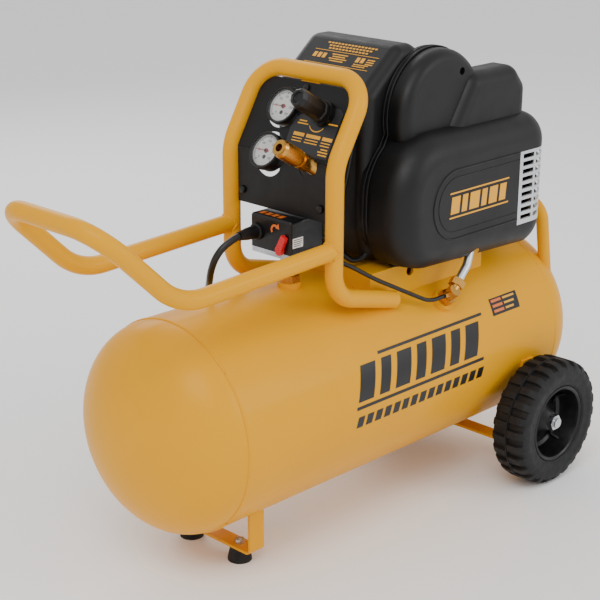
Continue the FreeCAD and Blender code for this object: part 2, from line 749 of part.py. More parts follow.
def switch_lever():
    """The red on/off lever on the front of the switch."""
    front = D.switch_front_x - 1
    y, z = D.switch_y - 21.5, D.switch_bottom_z + 9.5
    pin = rod(3, 9, front, y, z, X)
    boss = rod(7, 5, front, y, z, -X)
    blade = plate([(-5.5, 0), (5.5, 0), (4.5, 24), (-4.5, 24)], 6, front - 6.5, y, z,
                  Rotation(Y, Z, X, "ZXY"))
    turn = Rotation(X, 26).multiply(Rotation(Y, Z, X, "ZXY"))
    put(blade, front - 6.5, y, z, turn)
    return node("switch_lever", fuse(pin, boss, blade))


def strain_relief():
    x, y, z = D.switch_front_x, D.switch_y + 25.5, D.switch_bottom_z + 27
    r = D.cord_radius
    profile = [(0, -8), (7.8, -8), (7.8, 0), (12, 0.2), (12, 4), (9.5, 5), (8.6, 20),
               (r + 1.2, 36), (0, 36)]
    return node("cord_strain_relief", turned(profile, x, y, z, -X))


def air_manifold():
    """The brass column between tank and switch, with ports for valve and hose."""
    x, y = D.manifold_x, D.manifold_y
    low = D.tank_axis_z + D.tank_radius + D.bung_rise
    rise = D.switch_bottom_z - 16 - low
    column = rod(9, rise, x, y, low)
    nut = hexagon(26, 10, x, y, low)
    block = hexagon(24, 18, x, y, low + rise * 0.5 - 4)
    front_port = rod(7, 20, x, y, low + rise * 0.5 + 5, -X)
    rear_port = rod(7, 24, x, y, low + rise * 0.5 + 5, X)
    return node("air_manifold", fuse(column, nut, block, front_port, rear_port))


def safety_valve():
    """A pop valve on the manifold's front port, with a pull ring."""
    x, y = D.manifold_x - 20, D.manifold_y
    z = D.tank_axis_z + D.tank_radius + D.bung_rise
    z = z + (D.switch_bottom_z - 16 - z) * 0.5 + 5
    body = fuse(hexagon(16, 9, x, y, z, -X), rod(6.4, 26, x - 9, y, z, -X))
    bore = rod(2.06, 30, x - 10, y, z, -X)
    node("safety_valve_body", cut(body, bore))
    stem = rod(2, 30, x - 12, y, z, -X)
    cap = rod(4, 2.5, x - 35.6, y, z, -X)
    ring = helper("Part::Torus", "ring")
    bind(ring, Radius1=9, Radius2=1.1)
    put(ring, x - 50, y, z, Rotation(Z, Y))
    node("safety_valve_ring", fuse(stem, cap, ring))


def drain_valve():
    x, z = D.drain_x, D.tank_axis_z - D.tank_radius - D.bung_rise
    stem = rod(7, 15, x, 0, z, -Z)
    barrel = rod(7.5, 34, x + 13, 0, z - 15, -X)
    spindle = rod(3, 12, x - 21, 0, z - 15, -X)
    node("drain_valve_body", fuse(stem, barrel, spindle))
    grip = rod(9.5, 13, x - 21.4, 0, z - 15, -X)
    hole = rod(3 + D.running_fit, 12.4, x - 21, 0, z - 15, -X)
    node("drain_valve_knob", cut(grip, hole))


pressure_switch()
switch_lever()
strain_relief()
air_manifold()
safety_valve()
drain_valve()


# ---------------------------------------------------------------- motor and pump
def motor():
    """Stator with end bells, and the shaft that runs through it."""
    x, z = D.crank_x, D.crank_z
    front, rear = D.stator_front_y, D.stator_rear_y
    core = rod(D.stator_radius, rear - front, x, front, z, Y)
    bells = [rod(D.stator_radius - 8, 10, x, front - 10, z, Y),
             rod(D.stator_radius - 8, 10, x, rear, z, Y)]
    rotor_space = rod(40.5, rear - front - 8, x, front + 4, z, Y)
    shaft_space = rod(D.shaft_radius + D.running_fit, 300, x, -150, z, Y)
    foot = box(x - 50, front + 12, D.saddle_top_z + 8, 100, rear - front - 24, 26)
    node("motor_stator", cut(fuse(core, *bells, foot), rotor_space, shaft_space))
    end_y = D.rod_y + 9
    shaft = rod(D.shaft_radius, D.fan_y + 10 - end_y, x, end_y, z, Y)
    rotor = rod(40, rear - front - 14, x, front + 7, z, Y)
    node("rotor_shaft", fuse(shaft, rotor))


def cooling_fan():
    """An axial fan pressed on the shaft's free end."""
    x, z, y = D.crank_x, D.crank_z, D.fan_y
    hub = rod(18, 12, x, y - 6, z, Y)
    bore = rod(D.shaft_radius, 16, x, y - 8, z, Y)
    blades = []
    for index in range(7):
        angle = index * 360 / 7
        blade = Part.makeBox(float(D.fan_radius) - 15, 2, 22, Vector(15, -1, -11))
        blade.rotate(Vector(0, 0, 0), X, 38)
        blade.rotate(Vector(0, 0, 0), Z, angle)
        blades.append(blade)
    disc = Part.makeCylinder(float(D.fan_radius), 11, Vector(0, 0, -5.5))
    fan = shaped(Part.makeCompound([blade.common(disc) for blade in blades]))
    put(fan, x, y, z, Rotation(Z, Y))
    return node("cooling_fan", cut(fuse(hub, fan), bore))


def crankcase():
    """The bearing wall and open ring that carry the cylinder."""
    x, z = D.crank_x, D.crank_z
    wall_y = D.stator_front_y - 20
    ring = cut(rod(62, 44, x, wall_y - 44, z, Y), rod(55, 50, x, wall_y - 47, z, Y))
    wall = rod(62, 9, x, wall_y, z, Y)
    bearing = rod(D.shaft_radius + D.running_fit, 30, x, wall_y - 10, z, Y)
    window = rod(D.bore_radius + 9, 120, x, D.rod_y, z, X)
    window_up = rod(D.bore_radius + 9, 20, D.cylinder_x - 18, D.rod_y, z, X)
    foot = box(x - 45, wall_y - 40, D.saddle_top_z + 8, 90, 40, 30)
    keep_out = rod(55, 50, x, wall_y - 47, z, Y)
    return node("crankcase", cut(fuse(ring, wall, foot), bearing, window, window_up, keep_out))


def crank_eccentric():
    """A web with a counterweight and an offset pin, pressed on the shaft's end."""
    x, z, y = D.crank_x, D.crank_z, D.rod_y
    web = rod(20, 7, x, y + 9, z, Y)
    weight = common(rod(40, 7, x, y + 9, z, Y), box(x - 45, y + 9, z - 45, 38, 7, 90))
    pin = rod(D.pin_radius, 17, x + D.throw, y - 7, z, Y)
    bore = rod(D.shaft_radius, 60, x, y + 9, z, Y)
    return node("crank_eccentric", cut(fuse(web, weight, pin), bore))


def wobble_piston():
    """A rod with a dished piston head; its open big end clears the whole sweep of the pin."""
    x, z, y = D.crank_x + D.throw, D.crank_z, D.rod_y
    clearance = D.throw * 2 + D.pin_radius + 0.5
    crown_x = D.cylinder_x + D.cylinder_length - 7
    big_end = rod(clearance + 6, 9, x, y - 4.5, z, Y)
    eye = rod(clearance, 20, x, y - 10, z, Y)
    shank = box(x + clearance + 2, y - 4, z - 8, crown_x - x - clearance - 2, 8, 16)
    head = rod(D.bore_radius - 0.3, 6, crown_x, y, z, X)
    return node("wobble_piston", cut(fuse(big_end, shank, head), eye))


def pump_cylinder():
    """A finned sleeve in front of the valve plate."""
    x, y, z = D.cylinder_x, D.rod_y, D.crank_z
    sleeve = rod(D.bore_radius + 4, D.cylinder_length, x, y, z, X)
    fins = [rod(D.bore_radius + 12, 2, x + 6 + index * 8, y, z, X) for index in range(6)]
    bore = rod(D.bore_radius, D.cylinder_length + 2, x - 1, y, z, X)
    return node("pump_cylinder", cut(fuse(sleeve, *fins), bore))


def cylinder_head():
    x, y, z = D.cylinder_x + D.cylinder_length, D.rod_y, D.crank_z
    plate_part = box(x, y - 36, z - 36, 5, 72, 72)
    cap = box(x + 5, y - 30, z - 30, 22, 60, 60)
    fins = [box(x + 8 + index * 6, y - 34, z - 34, 2.4, 68, 68) for index in range(3)]
    outlet = rod(8, 14, x + 14, y, z - 48, Z)
    return node("cylinder_head", fuse(plate_part, cap, outlet, *fins))


def isolator_mounts():
    """Rubber blocks between the saddle and the motor's and crankcase's feet."""
    blocks = []
    for x in (D.crank_x - 38, D.crank_x + 38):
        for y in (D.stator_front_y + 24, D.stator_rear_y - 24, D.stator_front_y - 40):
            blocks.append(rod(9, 8, x, y, D.saddle_top_z))
    return node("isolator_mounts", fuse(*blocks))


motor()
cooling_fan()
crankcase()
crank_eccentric()
wobble_piston()
pump_cylinder()
cylinder_head()
isolator_mounts()


# ---------------------------------------------------------------- air lines and cords
def shoulder_point(out):
    """A point on the check valve's axis, a distance out of the tank's wall."""
    way = shoulder_direction() * (float(D.tank_radius) + out)
    return Vector(float(D.check_x), 0, float(D.tank_axis_z)) + way


INLET_WAY = Vector(0.76, 0.10, 0.64).normalize()


def check_valve():
    """A brass tee on the tank's shoulder: inlet nut from the pump, port to the unloader."""
    way, rise = shoulder_direction(), float(D.bung_rise)
    base, middle = shoulder_point(rise), shoulder_point(rise + 17)
    body = fuse(hexagon(22, 11, *base, way), rod(9, 27, *base, way))
    inlet = rod(8.5, 16, *middle, INLET_WAY)
    nut = hexagon(20, 11, *(middle + INLET_WAY * 13), INLET_WAY)
    port = rod(4.5, 17, *middle, -X)
    seat = rod(D.pipe_radius, 12, *(middle + INLET_WAY * 18), INLET_WAY)
    line = rod(D.line_radius, 12, *(middle - X * 12), -X)
    return node("check_valve", cut(fuse(body, inlet, nut, port), seat, line))


def discharge_tube():
    """The aluminium line from the cylinder head down to the check valve."""
    start = shoulder_point(float(D.bung_rise) + 17) + INLET_WAY * 18
    head_x = D.cylinder_x + D.cylinder_length + 14
    points = [tuple(start), tuple(start + INLET_WAY * 34), (206, -116, 392), (232, -98, 398),
              (head_x, D.rod_y, 398), (head_x, D.rod_y, D.crank_z - 48)]
    bends = [20, 18, 22, 16]
    return node("discharge_tube", shaped(pipe("discharge_tube", points, float(D.pipe_radius),
                                              bends, 1.2)))


def unloader_tube():
    start = shoulder_point(float(D.bung_rise) + 17) - X * 12
    points = [tuple(start), (104, start.y + 6, 327), (62, -106, 350), (8, -102, 378),
              (-28, -88, 402), (-53, -67, 417),
              (-60, D.switch_y - D.switch_half + 1, D.switch_bottom_z)]
    return node("unloader_tube", shaped(pipe("unloader_tube", points, float(D.line_radius))))


def motor_lead():
    """The thick lead from the switch to the motor cover."""
    start = D.switch_front_x + D.switch_depth
    points = [(start, -25, 434), (start + 24, -28, 428), (start + 41, -38, 405),
              (start + 57, -47, 389.5), (37, -52, 391.5), (49.5, -53, 404.5)]
    return node("motor_lead", shaped(pipe("motor_lead", points, float(D.motor_lead_radius))))


def regulator_hose():
    """The hose that feeds the regulator from the manifold."""
    low = D.tank_axis_z + D.tank_radius + D.bung_rise
    port_z = low + (D.switch_bottom_z - 16 - low) * 0.5 + 5
    end_x, end_y, end_z = on_panel(D.regulator_slope, D.outlet_y, -37)
    last = Vector(end_x, end_y, end_z) - LEAN_WAY * 32
    points = [(D.manifold_x + 24, D.manifold_y, port_z),
              (D.manifold_x + 55, D.manifold_y - 2, port_z + 1), (8, -21, 424), (12, -31, 474),
              (14, -42, 526), tuple(last), (end_x, end_y, end_z)]
    return node("regulator_hose", shaped(pipe("regulator_hose", points, float(D.hose_radius))))


CORD_ROUTE = [(-139, 20, 446), (-160, 22, 440), (-175, 28, 423), (-176, 38, 400),
              (-166, 52, 379), (-146, 76, 362), (-124, 106, 341), (-106, 136, 309),
              (-96, 160, 264), (-90, 172, 212), (-86, 177, 158), (-78, 181, 108),
              (-64, 187, 66), (-42, 193, 34), (-12, 203, 15), (34, 213, 10)]


def power_cord():
    """The supply cord's free stretch: over the tank's shoulder and down to its coil."""
    return node("power_cord", shaped(pipe("power_cord", CORD_ROUTE, float(D.cord_radius))))


def cord_coil():
    """The outer shape of the put-away turns, lying on the floor."""
    inner, outer = D.coil_turn_radius - 11, D.coil_turn_radius + 11
    profile = [(inner, 0), (outer, 0), (outer, D.cord_radius * 4.2), (inner, D.cord_radius * 4.2)]
    return node("cord_coil", turned(profile, D.coil_x, D.coil_y, 0))


def power_plug():
    """A three-pin plug that lies beside the coil, with its long tapered tail."""
    x, y = D.coil_x + 63, D.coil_y - D.coil_turn_radius
    body = plate([(0, -8), (8, -13), (32, -13), (32, 13), (8, 13), (0, 8)], 22, x, y, 0)
    tail = cone(6, 8.5, 37.5, x - 37, y, 11, X)
    blades = [box(x + 32, y + side * 6.35 - 0.75, 10, 16, 1.5, 6.4) for side in (-1, 1)]
    earth = rod(2.4, 19, x + 32, y, 4, X)
    return node("power_plug", fuse(body, tail, earth, *blades))


check_valve()
discharge_tube()
unloader_tube()
motor_lead()
regulator_hose()
power_cord()
cord_coil()
power_plug()


# ---------------------------------------------------------------- shroud
def loose_fillet(solid, radius, chosen):
    edges = [edge for edge in solid.Edges if chosen(edge)]
    return solid.makeFillet(radius, edges)


def runs_along_y(edge):
    return abs(edge.tangentAt(edge.FirstParameter).y) > 0.99 and edge.Curve.TypeId.endswith("Line")


def prism(points, low_y, high_y, corner):
    """A solid with a rounded XZ outline, between two Y planes."""
    corners = [Vector(x, low_y, z) for x, z in points]
    face = Part.Face(Part.makePolygon(corners + corners[:1]))
    solid = face.extrude(Vector(0, high_y - low_y, 0))
    return loose_fillet(solid, corner, runs_along_y) if corner else solid


def face_edges_at(y):
    return lambda edge: abs(edge.BoundBox.YMin - y) < 0.01 and abs(edge.BoundBox.YMax - y) < 0.01


def motor_cover_solid(shrink):
    """The motor cover's outside, or its inside when shrunk by the wall."""
    open_end = 1 if shrink else 0
    front, bottom = float(D.bulge_front_x) + 2 + shrink, float(D.cover_bottom_z) - open_end
    near_y, far_y = float(D.seam_y) + 8 + shrink, float(D.motor_end_y) - shrink
    top, rear = float(D.cover_top_z) - shrink, float(D.cover_rear_x) - shrink
    ridge = float(D.ridge_x) + shrink * 0.4
    fall = math.tan(math.radians(float(D.label_slope)))
    outline = [(front + 14, bottom), (front, bottom + 50), (front, top - (ridge - front) * fall),
               (ridge, top), (ridge + 30, top), (rear - 34, top - 78), (rear, top - 128),
               (rear, bottom)]
    body = prism(outline, near_y, far_y, 20 - shrink)
    body = loose_fillet(body, 14 - shrink, face_edges_at(far_y))
    body = loose_fillet(body, 18 - shrink, face_edges_at(near_y))
    collar_end = float(D.seam_y) + 8 + (shrink + 0.5 if shrink else 2 * float(D.cover_wall))
    return body.fuse(seam_outline(float(D.seam_y) - open_end, collar_end, shrink - 1.5))


def seam_outline(low_y, high_y, shrink):
    """The disc and the rounded box below it that both covers share at the seam."""
    upper = Part.makeCylinder(float(D.dome_radius) - shrink, high_y - low_y,
                              Vector(float(D.dome_x), low_y, float(D.dome_z)), Y)
    bottom = float(D.cover_bottom_z) - (1 if shrink > 0 else 0)
    front, high = float(D.bulge_front_x) + shrink, float(D.bulge_top_z) - shrink
    rear = float(D.bulge_rear_x) - shrink
    lower = prism([(front, bottom), (front, high), (rear, high), (rear, bottom)],
                  low_y, high_y, None)
    return upper.fuse(bulge_corners(lower, 88 - shrink, 46 - shrink))


def pump_cover_solid(shrink):
    """Dome, rear block and pill-shaped bulge of the pump cover."""
    open_end = 1 if shrink else 0
    seam = float(D.seam_y) + open_end
    dome_face = float(D.dome_face_y) + shrink
    dome = Part.makeCylinder(float(D.dome_radius) - shrink, seam - dome_face,
                             Vector(float(D.dome_x), dome_face, float(D.dome_z)), Y)
    dome = loose_fillet(dome, 18 - shrink, face_edges_at(dome_face))
    top, rear = float(D.block_top_z) - shrink, float(D.block_rear_x) - shrink
    face_y, base = float(D.block_face_y) + shrink, float(D.bulge_top_z) - 40
    left = float(D.dome_x) + 8 + shrink
    block = prism([(left - 12, base), (left, base + 42), (left + 44, top), (rear - 26, top),
                   (rear, top - 30), (rear, base)], face_y, seam, 24 - shrink)
    block = loose_fillet(block, 22 - shrink, face_edges_at(face_y))
    bottom = float(D.cover_bottom_z) - float(D.bulge_drop) * 0.4 - open_end
    front, back = float(D.bulge_front_x) + shrink, float(D.bulge_rear_x) - shrink
    high = float(D.bulge_top_z) - shrink
    face_y = float(D.bulge_face_y) + shrink
    bulge = prism([(front, bottom), (front, high), (back, high),
                   (back, bottom - float(D.bulge_drop) * 0.6)], face_y, seam, None)
    bulge = bulge_corners(bulge, 88 - shrink, 46 - shrink)
    bulge = loose_fillet(bulge, 38 - shrink, face_edges_at(face_y))
    return dome.fuse([block, bulge])


def bulge_corners(solid, front_radius, rear_radius):
    """Rounds the four long corners of the bulge, the lower front one a little less."""
    middle_x, middle_z = float(D.dome_x), float(D.crank_z)

    def at(front, upper):
        return [edge for edge in solid.Edges if runs_along_y(edge)
                and (edge.BoundBox.XMax < middle_x) == front
                and (edge.BoundBox.ZMin > middle_z) == upper]

    solid = solid.makeFillet(front_radius, at(True, True))
    solid = solid.makeFillet(front_radius - 18, at(True, False)[:1])
    return solid.makeFillet(rear_radius, at(False, True) + at(False, False))


def saddle_clearance():
    """What the pump cover's skirt leaves free over the saddle."""
    low_y, high_z = -float(SADDLE_HALF) - 2.5, float(D.cover_bottom_z)
    return Part.makeBox(500, 40, 60, Vector(-50, low_y, high_z - 60))


def pipe_clearance():
    """The hole in the pump cover's lower edge for the discharge tube."""
    low_z = float(D.cover_bottom_z - D.bulge_drop) - 5
    return Part.makeCylinder(float(D.pipe_radius) + 5, 40, Vector(198, -122, low_z))


def grille_window(gap):
    """The tall opening round the rear corner of the pump cover, less a gap all round."""
    front, face = float(D.grille_front_x) + gap, float(D.bulge_face_y)
    low_z, height = float(D.grille_low_z) + gap, float(D.grille_height) - 2 * gap
    return Part.makeBox(float(D.bulge_rear_x) + 10 - front, 41 - gap, height,
                        Vector(front, face - 5, low_z))


def cooling_grille(outer, wall):
    """A louvred metal screen that follows the cover's rear corner."""
    inner = pump_cover_solid(wall - 0.8)
    screen = outer.common(grille_window(0.5)).cut(inner)
    front, back = float(D.grille_front_x), float(D.bulge_rear_x)
    face, rows = float(D.bulge_face_y), 9
    pitch = (float(D.grille_height) - 8) / rows
    for index in range(rows):
        z = float(D.grille_low_z) + 8 + index * pitch
        for low_x, high_x in ((front + 8, front + 34), (front + 39, back + 5)):
            high_y = face + 33 if high_x > back else face + 12
            slot = Part.makeBox(high_x - low_x, high_y - face + 6, 6.4,
                                Vector(low_x, face - 6, z))
            slot.rotate(Vector(low_x, face, z + 3), X, 18)
            screen = screen.cut(slot)
    return screen


def screw_places():
    """Where the covers' screws sit: a point on the face and the way the head looks."""
    dome_face, motor_face = float(D.dome_face_y), float(D.motor_end_y)
    x, z = float(D.dome_x), float(D.dome_z)
    return [(Vector(x + 34, dome_face, z + 55), -1), (Vector(x - 60, motor_face, z + 30), 1),
            (Vector(x + 80, motor_face, z - 10), 1), (Vector(x, motor_face, z - 150), 1)]


def with_cups(cover, places):
    """Adds a deep screw cup at each place."""
    for spot, side in places:
        way = Y * side
        cover = cover.fuse(Part.makeCylinder(8, 16, spot - way * 17, way))
        cover = cover.cut(Part.makeCylinder(5.5, 16, spot - way * 15, way))
        cover = cover.cut(Part.makeCylinder(2.7, 8, spot - way * 20, way))
    return cover


def shroud_screws():
    screws = []
    for spot, side in screw_places():
        way = Y * side
        screws.append(fuse(rod(4.8, 3, *(spot - way * 15), way),
                           rod(2.4, 10, *(spot - way * 25), way)))
    return node("shroud_screws", fuse(*screws))


def shroud():
    wall = float(D.cover_wall)
    places = screw_places()
    motor_cover = motor_cover_solid(0).cut(motor_cover_solid(wall))
    node("motor_shroud", shaped(with_cups(motor_cover, places[1:])))
    outer = pump_cover_solid(0)
    pump_cover = outer.cut([pump_cover_solid(wall), grille_window(0), saddle_clearance(),
                            pipe_clearance()])
    node("pump_shroud", shaped(with_cups(pump_cover, places[:1])))
    node("cooling_grille", shaped(cooling_grille(outer, wall)))


shroud_screws()
shroud()

# ---------------------------------------------------------------- write the files
doc.recompute()
problems = [item.Label for item in doc.Objects
            if "Invalid" in item.State or "Error" in item.State]
if problems:
    raise RuntimeError(f"features that failed: {problems}")
os.makedirs("parts", exist_ok=True)
for label, item in nodes.items():
    shape = item.Shape
    if shape.isNull() or not shape.isValid() or not shape.Solids:
        raise RuntimeError(f"{label} is not a valid solid")
    shape.exportStep(os.path.join("parts", label + ".step"))
print(len(nodes), "nodes written")
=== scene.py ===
"""Studio looks for a portable air compressor, laid out as a Blender add-on and run as a script."""
import json
import math

import bmesh
import bpy
from bpy.props import (FloatProperty, FloatVectorProperty, IntProperty, PointerProperty,
                       StringProperty)
from mathutils import Matrix, Vector


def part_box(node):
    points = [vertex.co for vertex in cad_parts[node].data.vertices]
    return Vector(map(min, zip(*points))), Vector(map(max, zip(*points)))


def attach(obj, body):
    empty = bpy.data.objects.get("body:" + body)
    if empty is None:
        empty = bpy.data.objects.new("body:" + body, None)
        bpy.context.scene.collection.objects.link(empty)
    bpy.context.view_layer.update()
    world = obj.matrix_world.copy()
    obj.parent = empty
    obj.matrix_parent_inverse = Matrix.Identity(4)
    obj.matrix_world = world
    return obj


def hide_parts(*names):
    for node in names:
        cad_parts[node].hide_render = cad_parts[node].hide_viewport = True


bl_info = {
    "name": "Air Compressor Studio",
    "version": (1, 0, 0),
    "blender": (4, 5, 0),
    "location": "View3D > Sidebar > Compressor",
    "description": "Finishes, tyres, gauges, graphics and cord for an air compressor",
    "category": "Object",
}

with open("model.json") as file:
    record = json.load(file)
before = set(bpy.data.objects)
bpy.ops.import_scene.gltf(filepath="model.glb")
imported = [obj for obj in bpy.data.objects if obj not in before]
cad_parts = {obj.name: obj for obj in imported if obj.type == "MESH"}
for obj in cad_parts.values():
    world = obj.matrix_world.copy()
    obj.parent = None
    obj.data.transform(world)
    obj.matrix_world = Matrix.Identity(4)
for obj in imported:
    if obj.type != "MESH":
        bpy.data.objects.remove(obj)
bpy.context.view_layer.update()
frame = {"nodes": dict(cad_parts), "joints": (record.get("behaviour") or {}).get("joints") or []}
ROOT = "compressor_frame"
MM = 0.001
X, Y, Z = Vector((1, 0, 0)), Vector((0, 1, 0)), Vector((0, 0, 1))


# ---------------------------------------------------------------- places read from the frame
def box(name):
    """Low and high corners of one of the frame's parts."""
    low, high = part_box(name)
    return Vector(low), Vector(high)


def joint_named(name):
    """The frame's record of a joint."""
    return next(joint for joint in frame["joints"] if joint["name"] == name)


TANK_LOW, TANK_HIGH = box("tank_shell")
TANK_RADIUS = (TANK_HIGH.z - TANK_LOW.z) / 2
TANK_Z = (TANK_HIGH.z + TANK_LOW.z) / 2
OUTWARD = Vector(joint_named("regulator_turn")["axis"]).normalized()
UPSLOPE = Vector((OUTWARD.z, 0, -OUTWARD.x))
RIGHT = -Y

# radii that several pieces share, in metres
FRAME_TUBE = 12.7 * MM
SCREW_HEAD = 5.6 * MM
# depths behind the pointers' pivots, along the control panel's slope
DIAL_DEPTH = 0.18 * MM
PANEL_DEPTH = 2.85 * MM
SCREW_DEPTH = 2.9 * MM

# the covers, in millimetres: centre x, centre z and radius of each seam arc, then the ridge
# at the top of the sloping face and that face's fall in degrees
SEAM_DOME = (152, 592, 90.5)
SEAM_END = (112, 484, 89.5)
SEAM_CORNER = (94, 455, 71.5)
RIDGE_X, RIDGE_Z, RIDGE_FALL = 98, 687.5, 39.8


# ---------------------------------------------------------------- settings
class CompressorFinish(bpy.types.PropertyGroup):
    paint: StringProperty(name="Paint", description="Powder coat colour, sRGB hex",
                          default="E8A300")
    cover: StringProperty(name="Covers", description="Moulded cover colour, sRGB hex",
                          default="0D0D0E")
    peel: FloatProperty(name="Orange peel", description="Spacing of the coat's ripple",
                        default=0.0022, unit="LENGTH")
    stipple: FloatProperty(name="Stipple", description="Grain of the moulded covers",
                           default=0.0011, unit="LENGTH")


class CompressorTyre(bpy.types.PropertyGroup):
    lugs: IntProperty(name="Lugs", description="Tread blocks in one row", default=26)
    groove: FloatProperty(name="Groove", description="Depth between tread blocks",
                          default=0.0055, unit="LENGTH")


class CompressorCord(bpy.types.PropertyGroup):
    diameter: FloatProperty(name="Diameter", description="Supply cord diameter",
                            default=0.010, unit="LENGTH")
    length: FloatProperty(name="Length", description="Supply cord length, exit to plug",
                          default=1.72, unit="LENGTH")


class CompressorStage(bpy.types.PropertyGroup):
    azimuth: FloatProperty(name="Azimuth", description="Camera direction round the machine",
                           default=math.radians(-45.0), subtype="ANGLE")
    elevation: FloatProperty(name="Elevation", description="Camera height angle",
                             default=math.radians(21.21), subtype="ANGLE")
    distance: FloatProperty(name="Distance", description="Camera distance from its target",
                            default=2.2009, unit="LENGTH")
    target: FloatVectorProperty(name="Target", description="Point the camera looks at",
                                default=(-0.0677, 0.0, 0.2438), subtype="XYZ")
    lens: FloatProperty(name="Lens", description="Focal length in millimetres", default=91.19)
    shift: FloatVectorProperty(name="Shift", description="Sideways and upward lens shift",
                               default=(0.0240, 0.1060), size=2)
    daylight: FloatProperty(name="Daylight", description="Strength of the soft white surround",
                            default=0.9)
    floor: StringProperty(name="Floor", description="Floor colour, sRGB hex", default="FFFFFF")


# ---------------------------------------------------------------- materials
def linear(hex_text):
    """Linear RGBA of an sRGB hex colour."""
    channels = [int(hex_text[start:start + 2], 16) / 255 for start in (0, 2, 4)]
    return tuple(value / 12.92 if value <= 0.04045 else ((value + 0.055) / 1.055) ** 2.4
                 for value in channels) + (1.0,)


def add_node(tree, kind, settings=None, links=None):
    """Adds a node; settings go to its properties or inputs, links join inputs to sockets."""
    made = tree.nodes.new(kind)
    for name, value in (settings or {}).items():
        if name in made.inputs:
            made.inputs[name].default_value = value
        else:
            setattr(made, name, value)
    for name, socket in (links or {}).items():
        tree.links.new(socket, made.inputs[name])
    return made


MATERIALS = {}


def finish(name, hex_text, roughness, metallic=0.0, **shader):
    """Starts a material from a Principled shader; returns its tree, shader and place."""
    made = bpy.data.materials.new(name)
    made.use_nodes = True
    tree = made.node_tree
    tree.nodes.clear()
    out = add_node(tree, "ShaderNodeOutputMaterial")
    surface = add_node(tree, "ShaderNodeBsdfPrincipled",
                       {"Base Color": linear(hex_text), "Roughness": roughness,
                        "Metallic": metallic, **shader})
    tree.links.new(surface.outputs["BSDF"], out.inputs["Surface"])
    place = add_node(tree, "ShaderNodeTexCoord")
    MATERIALS[name] = made
    return tree, surface, place.outputs["Object"]


# The real grain of these finishes is 0.1 to 0.6 mm, too fine to show. Each is drawn at about
# 1 mm, apart from the powder coat's ripple, which really is 2 mm or so.
def grain(tree, surface, place, spacing, strength, depth=0.2 * MM):
    """Bumps the surface with noise whose lumps are spaced as given."""
    noise = add_node(tree, "ShaderNodeTexNoise",
                     {"Scale": 1 / spacing, "Detail": 2.0, "Roughness": 0.55},
                     {"Vector": place})
    bump = add_node(tree, "ShaderNodeBump", {"Strength": strength, "Distance": depth},
                    {"Height": noise.outputs["Fac"]})
    tree.links.new(bump.outputs["Normal"], surface.inputs["Normal"])


def mottle(tree, surface, place, spacing, low, high):
    """Varies roughness between two values over soft patches."""
    noise = add_node(tree, "ShaderNodeTexNoise", {"Scale": 1 / spacing, "Detail": 3.0},
                     {"Vector": place})
    spread = add_node(tree, "ShaderNodeMapRange",
                      {"From Min": 0.3, "From Max": 0.7, "To Min": low, "To Max": high},
                      {"Value": noise.outputs["Fac"]})
    tree.links.new(spread.outputs["Result"], surface.inputs["Roughness"])


def tint(tree, surface, place, spacing, hex_a, hex_b):
    """Drifts the base colour between two close shades."""
    noise = add_node(tree, "ShaderNodeTexNoise", {"Scale": 1 / spacing, "Detail": 4.0},
                     {"Vector": place})
    mix = add_node(tree, "ShaderNodeMix", {"data_type": "RGBA"},
                   {"Factor": noise.outputs["Fac"]})
    # the mix node's colour sockets: inputs 6 and 7, output 2
    mix.inputs[6].default_value = linear(hex_a)
    mix.inputs[7].default_value = linear(hex_b)
    tree.links.new(mix.outputs[2], surface.inputs["Base Color"])


def powder_coat(settings):
    """Baked polyester powder coat: semi-gloss, warm yellow, with a faint orange-peel ripple."""
    tree, surface, place = finish("powder_coat_yellow", settings.paint, 0.36,
                                        **{"Coat Weight": 0.05, "Coat Roughness": 0.12,
                                           "Specular IOR Level": 0.1})
    tint(tree, surface, place, 90 * MM, settings.paint, "E09C00")
    grain(tree, surface, place, settings.peel, 0.16)


def powder_coat_black():
    """Black powder coat on sheet steel: fine satin texture."""
    tree, surface, place = finish("powder_coat_black", "080809", 0.42,
                                        **{"Specular IOR Level": 0.3})
    mottle(tree, surface, place, 12 * MM, 0.36, 0.50)
    grain(tree, surface, place, 1.2 * MM, 0.25)


def moulded_abs(settings):
    """Injection-moulded ABS covers: near black, satin, with a spark-eroded grain.
    The grain is drawn about twice as coarse as the real one so that it shows."""
    tree, surface, place = finish("moulded_abs_black", settings.cover, 0.46,
                                        **{"Specular IOR Level": 0.35})
    mottle(tree, surface, place, 30 * MM, 0.42, 0.52)
    grain(tree, surface, place, settings.stipple, 0.22)


def moulded_nylon():
    """Glass-filled nylon of knobs and boxes: black, slightly shinier than the covers."""
    tree, surface, place = finish("moulded_nylon_black", "0A0A0B", 0.38,
                                        **{"Specular IOR Level": 0.4})
    mottle(tree, surface, place, 8 * MM, 0.30, 0.46)
    grain(tree, surface, place, 0.9 * MM, 0.2)


def red_nylon():
    """Dyed nylon lever: saturated red, semi-gloss."""
    tree, surface, place = finish("moulded_nylon_red", "D0161E", 0.3)
    mottle(tree, surface, place, 6 * MM, 0.25, 0.4)
    grain(tree, surface, place, 1 * MM, 0.12)


def tyre_rubber():
    """Vulcanised rubber: very dark grey, dull, with fine pores and a dusty bloom."""
    tree, surface, place = finish("vulcanised_rubber", "101011", 0.62,
                                        **{"Specular IOR Level": 0.35})
    tint(tree, surface, place, 20 * MM, "0E0E0F", "171718")
    mottle(tree, surface, place, 10 * MM, 0.55, 0.72)
    grain(tree, surface, place, 1.1 * MM, 0.3)


def cord_jacket():
    """Thermoplastic rubber cord jacket: black, soft sheen."""
    tree, surface, place = finish("cord_jacket_black", "0C0C0D", 0.42)
    grain(tree, surface, place, 1.2 * MM, 0.15)


